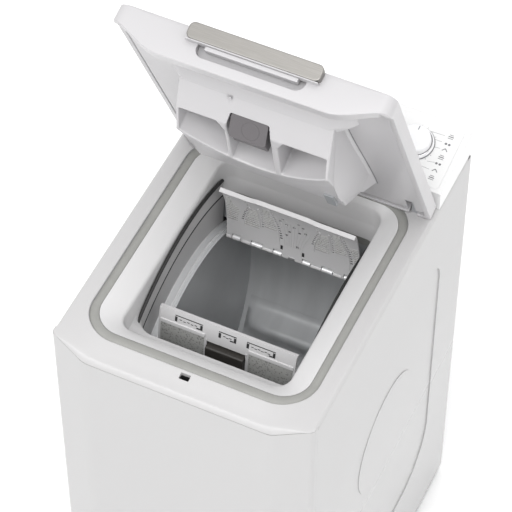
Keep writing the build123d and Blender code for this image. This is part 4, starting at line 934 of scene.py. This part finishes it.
def front_flap():
    flap = flap_shell("front_flap_shell", lambda x: FLAP_MEET + 0.35, FRONT_EDGE - 1.0, FRONT_FLAP, 3.4)
    cuts = [drum_block(x - n / 2 - 1, x + n / 2 + 1, FRONT_EDGE + 2, FRONT_EDGE - 2.1,
                       THROUGH_LOW, THROUGH_HIGH, FRONT_FLAP) for x, n in STEEL_LOOPS]
    half = BUTTON_HALF + 0.4
    cuts.append(drum_block(-half, half, BUTTON_START - 0.3, BUTTON_STOP + 0.3, 205, THROUGH_HIGH, FRONT_FLAP))
    cut(flap, *cuts)
    slots = []

    def slot(x_low, x_high, low, high):
        slots.append(drum_block(x_low, x_high, FLAP_MEET + low, FLAP_MEET + high,
                                THROUGH_LOW, THROUGH_HIGH, FRONT_FLAP))

    # Three frames that the rear flap's hooks catch in, each with a wavy lower edge.
    for near, far in ((-83, -39), (-14, 14), (30, 75)):
        slot(near, far, 2.1, 2.65)
        for x in (near, far - 4):
            slot(x, x + 4, 2.78, 5.2)
        slot(far - 10, far - 4.1, 4.4, 5.2)
        count = round((far - near - 12) / 6)
        for i in range(count):
            x = near + 7 + i * (far - near - 14) / max(count, 1)
            high = 3.55 + 0.28 * (i % 2)
            slot(x, x + 4.2, high, high + 0.5)
    cut(flap, *slots)
    adopt(flap, "flap_plastic", "front_flap", ["front_flap"], angle=24)
    # A dark sheet of painted shade behind the front flap's slots.
    flap_shade_sheet("front_flap_shade_sheet", FLAP_MEET + 1.5, FLAP_MEET + 6, 95, FRONT_FLAP, "front_flap")
    # A ridge above each dimpled grip panel, with a gap at the button.
    top = RIDGE + 0.8
    for side, (near, far) in (("left", (-105, -BUTTON_HALF - 4)), ("right", (BUTTON_HALF + 4, 105))):
        ridge = drum_block(near, far, RIDGE - 1.1, RIDGE + 0.7, FLAP_OUT - 0.5, FLAP_OUT + 2.0, FRONT_FLAP)
        adopt(ridge, "flap_plastic", "front_flap", bevel=1.3)
        ridge.name = "front_flap_ridge_" + side
        rings = []
        for i in range(25):
            x = near + 1 + (far - near - 2) * i / 24
            ends = smooth(min(i, 24 - i) / 2)
            ring = []
            for k in range(13):
                radius = FLAP_OUT + 0.1 + 0.8 * ends * smooth(min(k, 12 - k) / 2)
                ring.append((x, *on_drum(top + GRIP_ANGLE * k / 12, radius)))
            ring += [(x, *on_drum(angle, FLAP_OUT - 0.6)) for angle in (top + GRIP_ANGLE, top)]
            rings.append(ring)
        panel = loft("front_flap_grip_" + side, rings, FRONT_FLAP)
        adopt(panel, "dimpled", "front_flap")
    # Cheeks and walls of the button's recess.
    for side, x in (("left", -BUTTON_HALF - 2.4), ("right", BUTTON_HALF + 0.4)):
        cheek = drum_block(x, x + 2, BUTTON_START - 1.2, BUTTON_STOP + 1.2, 209, FLAP_OUT + 1.6, FRONT_FLAP)
        cheek.name = "button_cheek_" + side
        adopt(cheek, "flap_plastic", "front_flap", bevel=0.5)
    for number, angle in enumerate((BUTTON_START - 1.2, BUTTON_STOP + 0.3)):
        wall = drum_block(-BUTTON_HALF, BUTTON_HALF, angle, angle + 0.9, 209, FLAP_OUT - 0.1, FRONT_FLAP)
        wall.name = "button_wall_%d" % (number + 1)
        adopt(wall, "flap_plastic", "front_flap")
    for side, x in (("left", -FLAP_HALF), ("right", FLAP_HALF - 1.6)):
        end = drum_block(x, x + 1.6, FLAP_MEET + 0.9, RIDGE, FLAP_OUT - 1, FLAP_OUT + 1.8, FRONT_FLAP)
        end.name = "front_flap_end_" + side
        adopt(end, "flap_plastic", "front_flap", bevel=0.7)
    knuckles("front_flap", FRONT_HINGE, FRONT_FLAP, "front_flap")


rear_flap()
front_flap()


# ------------------------------------------------------------------ top cover, gasket and well
CENTRE = (0.0, -50.0)
# Plans: half width, front, rear and corner radius.
GASKET_OUT = (174.0, -246.0, 155.0, 54.0)
GASKET_IN = (161.0, -231.0, 141.0, 42.0)
LIP = (128.0, -206.6, 138.0, 22.0)
WELL_FOOT = (126.0, -162.0, 130.0, 24.0)
SIDE_START = -256.0
BEND_X = 142.6
DECK = 820.0
DECK_DIP = 8.6
COVER_FOOT = 797.0
GROOVE = 813.0


def cabinet_corners(inset):
    """Corners of the cabinet's plan with their radii, drawn in by inset."""
    half = 200.0 - inset
    corner_y = -268.0 + 0.73 * inset
    bend_x = BEND_X - 0.15 * inset
    front = CABINET_FRONT + inset
    rear = 286.0 - inset
    small = max(9.0 - inset, 2.0)
    return [((half, rear), 1.5), ((-half, rear), 1.5), ((-half, corner_y), small), ((-bend_x, front), 70.0),
            ((bend_x, front), 70.0), ((half, corner_y), small)]


def filleted(corners, steps=10):
    """Closed outline with every corner rounded to its own radius."""
    points = []
    count = len(corners)
    for i, (corner, radius) in enumerate(corners):
        here = Vector(corner)
        before = (Vector(corners[i - 1][0]) - here).normalized()
        after = (Vector(corners[(i + 1) % count][0]) - here).normalized()
        half_angle = before.angle(after) / 2
        reach = radius / math.tan(half_angle)
        start, stop = here + before * reach, here + after * reach
        for k in range(steps + 1):
            t = k / steps
            points.append(tuple(start * (1 - t) ** 2 + here * 2 * t * (1 - t) + stop * t**2))
    return points


def plan(outline, grow=0.0):
    half, front, rear, radius = outline
    return rounded(-half - grow, half + grow, front - grow, rear + grow, radius + grow, 12)


def spread(outline, step=7.0):
    """Directions from the centre to points spaced evenly round an outline."""
    angles = []
    for i, here in enumerate(outline):
        there = outline[(i + 1) % len(outline)]
        gap = math.dist(here, there)
        parts = max(1, round(gap / step))
        for k in range(parts):
            x = here[0] + (there[0] - here[0]) * k / parts - CENTRE[0]
            y = here[1] + (there[1] - here[1]) * k / parts - CENTRE[1]
            angles.append(math.atan2(y, x))
    return angles


RAYS = spread(plan(GASKET_OUT))


def cast(outline):
    """Where the rays from the centre cross an outline."""
    hits = []
    for angle in RAYS:
        dx, dy = math.cos(angle), math.sin(angle)
        best = 0.0
        for i, here in enumerate(outline):
            there = outline[(i + 1) % len(outline)]
            ex, ey = there[0] - here[0], there[1] - here[1]
            cross = dx * ey - dy * ex
            if abs(cross) < 1e-9:
                continue
            px, py = here[0] - CENTRE[0], here[1] - CENTRE[1]
            along = (px * ey - py * ex) / cross
            share = (px * dy - py * dx) / cross
            if -1e-6 <= share <= 1 + 1e-6 and along > best:
                best = along
        hits.append((CENTRE[0] + dx * best, CENTRE[1] + dy * best))
    return hits


def deck_height(x, y):
    """The deck is level, and dips towards the middle of its front edge."""
    side = 1 - smooth((abs(x) - 112) / 75)
    return DECK - DECK_DIP * side * clamp((-228 - y) / 60) ** 1.2


def cover_edge(x, y):
    """Height of the cover's lower edge, along the front panel's seam and the side panels' tops."""
    if y < SIDE_START:
        return min(802.4 + 16.2 * clamp((abs(x) - BEND_X) / 48.4), 818.2) + 1.3
    return 812.0


def level(outline, z):
    return [(x, y, z) for x, y in outline]


def between(a, b, share, z):
    """A level ring between two outlines of equal length."""
    return [(p + (u - p) * share, q + (v - q) * share, z) for (p, q), (u, v) in zip(a, b)]


def top_cover():
    """Level deck with rounded outer edges, a groove for the gasket and a latch slot."""
    outer = cast(filleted(cabinet_corners(0)))
    deep = cast(filleted(cabinet_corners(10)))
    behind = cast(filleted(cabinet_corners(1.3)))
    inner = cast(filleted(cabinet_corners(3)))
    edge = [cover_edge(x, y) for x, y in outer]
    rings = [
        level(behind, COVER_FOOT),
        [(x, y, z) for (x, y), z in zip(behind, edge)],
        [(x, y, z) for (x, y), z in zip(outer, edge)],
    ]
    for k in range(9):
        turn = math.pi / 2 * k / 8
        ring = []
        for (x, y), (u, v), foot in zip(outer, deep, edge):
            high = deck_height(u, v)
            low = min(foot + 0.8, high - 1.0)
            tall = min(high - low, 9.0)
            share = 0.1 + 0.55 * clamp(tall / 9.0)
            lean = share * (1 - math.cos(turn))
            ring.append((x + (u - x) * lean, y + (v - y) * lean, high - tall * (1 - math.sin(turn))))
        rings.append(ring)
    rim = cast(plan(GASKET_OUT, 1.0))
    for share in (0.0, 0.35, 0.7, 1.0):
        spots = [(x, y) for x, y, _ in between(deep, rim, share, 0)]
        rings.append([(x, y, deck_height(x, y)) for x, y in spots])
    groove = cast(plan(GASKET_OUT))
    rings.append([(x, y, deck_height(x, y) - 0.9) for x, y in groove])
    hole = cast(plan(GASKET_IN, 0.4))
    rings += [level(groove, GROOVE), level(hole, GROOVE), level(hole, COVER_FOOT)]
    rings += [level(inner, COVER_FOOT), rings[0]]
    cover = loft("top_cover_shell", rings, caps=False)
    cut(cover, prism("latch_cut", rounded(-7.5, 7.5, -261, -251, 1.2, 4), 780, 840))
    # A dark pocket under the latch slot, which the hook enters.
    pocket = prism("latch_pocket", rounded(-8.6, 8.6, -262, -250, 1.6, 4), 786, 811.2)
    cut(pocket, prism("latch_way", rounded(-7.2, 7.2, -260.7, -251.3, 1.0, 4), 787, 820))
    adopt(pocket, "black_plastic", "cabinet")
    adopt(cover, "white_plastic", "cabinet", ["top_cover"], angle=40)


def gasket():
    rings = []
    for grow, z in ((-0.3, 813.1), (-0.3, 816.4), (-1.4, 817.3), (-6.4, 817.8)):
        rings.append(level(cast(plan(GASKET_OUT, grow)), z))
    for grow, z in ((1.6, 817.3), (0.2, 816.4), (0.2, 813.1)):
        rings.append(level(cast(plan(GASKET_IN, grow)), z))
    rings.append(rings[0])
    seal = loft("cover_gasket_strip", rings, caps=False)
    adopt(seal, "gasket_grey", "cabinet", ["cover_gasket"], angle=50)
    path = level(cast(plan(GASKET_OUT, -0.1)), 816.2)
    line = tube("gasket_shadow_line", path, 0.45, ROW, 8, True)
    adopt(line, "filter_grey", "cabinet")


def well():
    """Funnel down to a lip, then walls that close in towards the drum's opening."""
    top, lip, foot = cast(plan(GASKET_IN, -0.3)), cast(plan(LIP)), cast(plan(WELL_FOOT))
    funnel = ((0.0, 816.5), (0.05, 816.0), (0.86, 803.4), (0.94, 801.6), (0.985, 799.0), (1.0, 795.0))
    walls = ((0.0, 767.0), (0.08, 763.0), (1.0, 741.0))
    rings = [between(top, lip, share, z) for share, z in funnel]
    rings += [between(lip, foot, share, z) for share, z in walls]
    back = [level(foot, 740.0)]
    for thick, source, z in (
        (2.5, foot, 741.0), (2.5, lip, 764.0), (2.5, lip, COVER_FOOT), (0.0, top, 813.5),
    ):
        grown = []
        for x, y in source:
            away = Vector((x - CENTRE[0], y - CENTRE[1])).normalized() * thick
            grown.append((x + away.x, y + away.y, z))
        back.append(grown)
    shell = loft("opening_well_shell", [*rings, *back, rings[0]], caps=False)
    # The well takes a lighter copy of the white plastic: painted light.
    adopt(shell, "well_white", "cabinet", ["opening_well"], angle=28)


def seam_shade_line():
    """Grey line of painted shade in the gap between the cover's front edge and the panels under it."""
    outline = cast(filleted(cabinet_corners(0.8)))
    path = [(x, y, cover_edge(x, y) - 0.6) for x, y in outline if y < -236]
    path.sort(key=lambda spot: spot[0])
    adopt(tube("cover_seam_shade", path, 0.75, ROW, 8), "gasket_grey", "cabinet")


top_cover()
gasket()
well()
seam_shade_line()


# ------------------------------------------------------------------ drum
LIFTER_HALF = 119.6
LIFTER_TALL = 30.0
LIFTER_ANGLE = 10.5


def lifters():
    """Rounded ridges that carry the washing up."""
    foot = DRUM_R - 3.0
    for turn in (219, 329):
        rings = []
        for i in range(25):
            x = -119.5 + 239 * i / 24
            crown = LIFTER_TALL * (1 - (abs(x) / LIFTER_HALF) ** 8)
            inner, outer = [], []
            for k in range(21):
                share = -1 + k / 10
                swell = (0.5 + 0.5 * math.cos(math.pi * share)) ** 1.3
                angle = turn + LIFTER_ANGLE * share
                inner.append((x, *on_drum(angle, foot - crown * swell - 0.3)))
                outer.append((x, *on_drum(angle, foot)))
            rings.append(inner + outer[::-1])
        ridge = loft("drum_ridge_%d" % turn, rings)
        adopt(ridge, "lifter_grey", "drum", ["drum_lifters"] if turn == 219 else (), angle=50)


def arc_path(radius, start, stop, x, steps=60):
    """Points on a circle round the drum axis, on a plane of constant X."""
    return [(x, *on_drum(start + (stop - start) * i / steps, radius)) for i in range(steps + 1)]


BEAD_R = 227.2


def chrome_rings():
    """Two bright beads round each end of the drum."""
    for side, s in SIDES:
        for number, x in enumerate((117.0, 127.3)):
            path = arc_path(BEAD_R, 0, 358, s * x, 160)
            bead = tube(f"drum_bead_{side}_{number + 1}", path, 1.25, ROW, 12, True)
            adopt(bead, "loop_steel", "drum")


SEAL_OUT = 317.0
SEAL_STEP = 287.0
SEAL_FOOT = 229.6
SEAL_FRONT = -159.0
SEAL_REAR = 124.0


def well_seals():
    """Arched plates with rubber lips, between the well's side walls and the drum's ends."""
    for side, s in SIDES:
        rings = []
        for i in range(65):
            y = SEAL_FRONT + (SEAL_REAR - SEAL_FRONT) * i / 64
            reach = y - AXIS[0]
            top, step, foot = (AXIS[1] + math.sqrt(r**2 - reach**2) for r in (SEAL_OUT, SEAL_STEP, SEAL_FOOT))
            profile = (
                (125.6, top), (124.8, top), (124.2, step + 1), (125.2, step),
                (125.2, step - 1.5), (124.4, step - 2.5), (127.0, foot), (128.0, foot),
            )
            rings.append([(s * x, y, z) for x, z in profile])
        adopt(loft("well_seal_" + side, rings), "white_plastic", "cabinet", angle=20)
        for name, radius, thick in (("outer", SEAL_OUT, 2.6), ("inner", SEAL_STEP - 0.7, 1.4)):
            arc = arc_path(radius, 50, 130, s * 124.7)
            path = [spot for spot in arc if SEAL_FRONT < spot[1] < SEAL_REAR]
            adopt(tube(f"well_seal_{name}_{side}", path, thick), "black_rubber", "cabinet")


lifters()
chrome_rings()
well_seals()


# ------------------------------------------------------------------ console
CONSOLE_FRONT = (164.5, 852.5)
CONSOLE_BACK = (286.0, 876.0)
SLOPE = math.atan2(CONSOLE_BACK[1] - CONSOLE_FRONT[1], CONSOLE_BACK[0] - CONSOLE_FRONT[0])
# Millimetres on the console's sloping top, with Z away from it.
CONSOLE = ROW @ Matrix.Translation((0, *CONSOLE_FRONT)) @ Matrix.Rotation(SLOPE, 4, "X")
KNOB_AT = (132.0, 66.0)
FASCIA = 0.2
SIGN_COLUMN = 176.5
SIGN_HEIGHTS = (94.2, 81.0, 70.8, 57.5, 45.8, 34.0, 21.4)


def turned(name, profile):
    """Body of revolution about the knob's axis; the profile is radius and height."""
    return loft(name, [level(circle(*KNOB_AT, radius, 96), z) for radius, z in profile], CONSOLE)


def knob():
    skirt = turned("knob_skirt", [(28.0, FASCIA + 0.4), (28.0, 3.4), (27.4, 4.2), (25.6, 4.6)])
    adopt(skirt, "knob_white", "knob", ["program_knob"], angle=40)
    body = turned("knob_body", [(24.6, 4.0), (24.4, 5.6), (23.2, 14.2), (22.6, 15.6), (21.0, 16.5),
                                (16.0, 16.75), (6.0, 16.6)])
    adopt(body, "knob_white", "knob", angle=40)
    for name, radius, height, thick, slot in (
        ("foot", 28.4, FASCIA + 0.6, 0.9, "print_grey"),
        ("waist", 25.3, 4.9, 1.0, "pin_steel"),
        ("collar", 24.9, 6.4, 0.6, "print_grey"),
    ):
        path = level(circle(*KNOB_AT, radius, 90), height)
        ring = tube("knob_ring_" + name, path, thick, CONSOLE, 8, True)
        adopt(ring, slot, "knob")
    x, y = KNOB_AT
    mark = prism("knob_mark", rounded(x - 0.7, x + 0.7, y + 13, y + 20, 0.6, 3), 16.4, 16.9, CONSOLE)
    adopt(mark, "filter_grey", "knob")


def printed(name, outlines):
    """Printed sign on the fascia, a tenth of a millimetre proud of it."""
    pieces = [prism("print", outline, FASCIA - 0.02, FASCIA + 0.1, CONSOLE) for outline in outlines]
    adopt(join(pieces, name), "print_grey", "cabinet")


def dash(x0, y0, x1, y1, wide=0.6):
    """Outline of a thin straight line."""
    along = Vector((x1 - x0, y1 - y0))
    side = Vector((-along.y, along.x)).normalized() * wide / 2
    ends = ((x0, y0, 1), (x0, y0, -1), (x1, y1, -1), (x1, y1, 1))
    return [(x + side.x * way, y + side.y * way) for x, y, way in ends]


def fascia_print():
    """Generic round and barred signs beside the knob, with leader lines, and a ring of ticks."""
    x = SIGN_COLUMN
    for i, y in enumerate(SIGN_HEIGHTS):
        shapes = (
            [dash(x - wide, y + up, x + wide, y + up, tall) for wide, up, tall in
             ((4, -3, 1.0), (4, 0, 1.6), (3, 3, 1.0))],
            [circle(x - 2.6, y, 1.9, 16), circle(x + 2.6, y, 1.9, 16)],
            [dash(x - 4, y - 2, x, y + 2.4, 1.3), dash(x, y + 2.4, x + 4, y - 2, 1.3)],
        )[i % 3]
        printed("fascia_sign_%d" % (i + 1), shapes)
    leaders = (
        (144.5, 92.2, 167, 93.2), (153, 82, 167, 82), (161, 70, 169, 71),
        (160, 44.3, 171, 46.3), (153, 34, 168, 33), (146, 26, 167, 21.5),
    )
    printed("fascia_leader_lines", [dash(*leader, 0.45) for leader in leaders])
    ticks = []
    for k in range(18):
        a = math.radians(40 + k * 17.6)
        ends = [(KNOB_AT[0] + r * math.cos(a), KNOB_AT[1] + r * math.sin(a)) for r in (30.2, 32.0)]
        ticks.append(dash(*ends[0], *ends[1]))
    printed("fascia_ticks", ticks)
    signs = []
    for x in (-140, -90, -40):
        signs += [dash(x - 14, 34.5, x + 14, 34.5, 0.4), circle(x, 71, 1.2, 16)]
    printed("fascia_key_signs", signs)


knob()
fascia_print()


# ------------------------------------------------------------------ floor
def floor():
    """Plain pale ground, in metres."""
    mesh = bpy.data.meshes.new("floor")
    half = 12.0
    corners = [(-half, -half, 0), (half, -half, 0), (half, half, 0), (-half, half, 0)]
    mesh.from_pydata(corners, [], [(0, 1, 2, 3)])
    obj = bpy.data.objects.new("floor", mesh)
    SCENE.collection.objects.link(obj)
    s = Shader("floor", (0.95, 0.95, 0.95), 0.9)
    s.tint(s.ramp(s.noise(2.0), 0, 1), 0.01)
    obj.data.materials.append(s.mat)


floor()
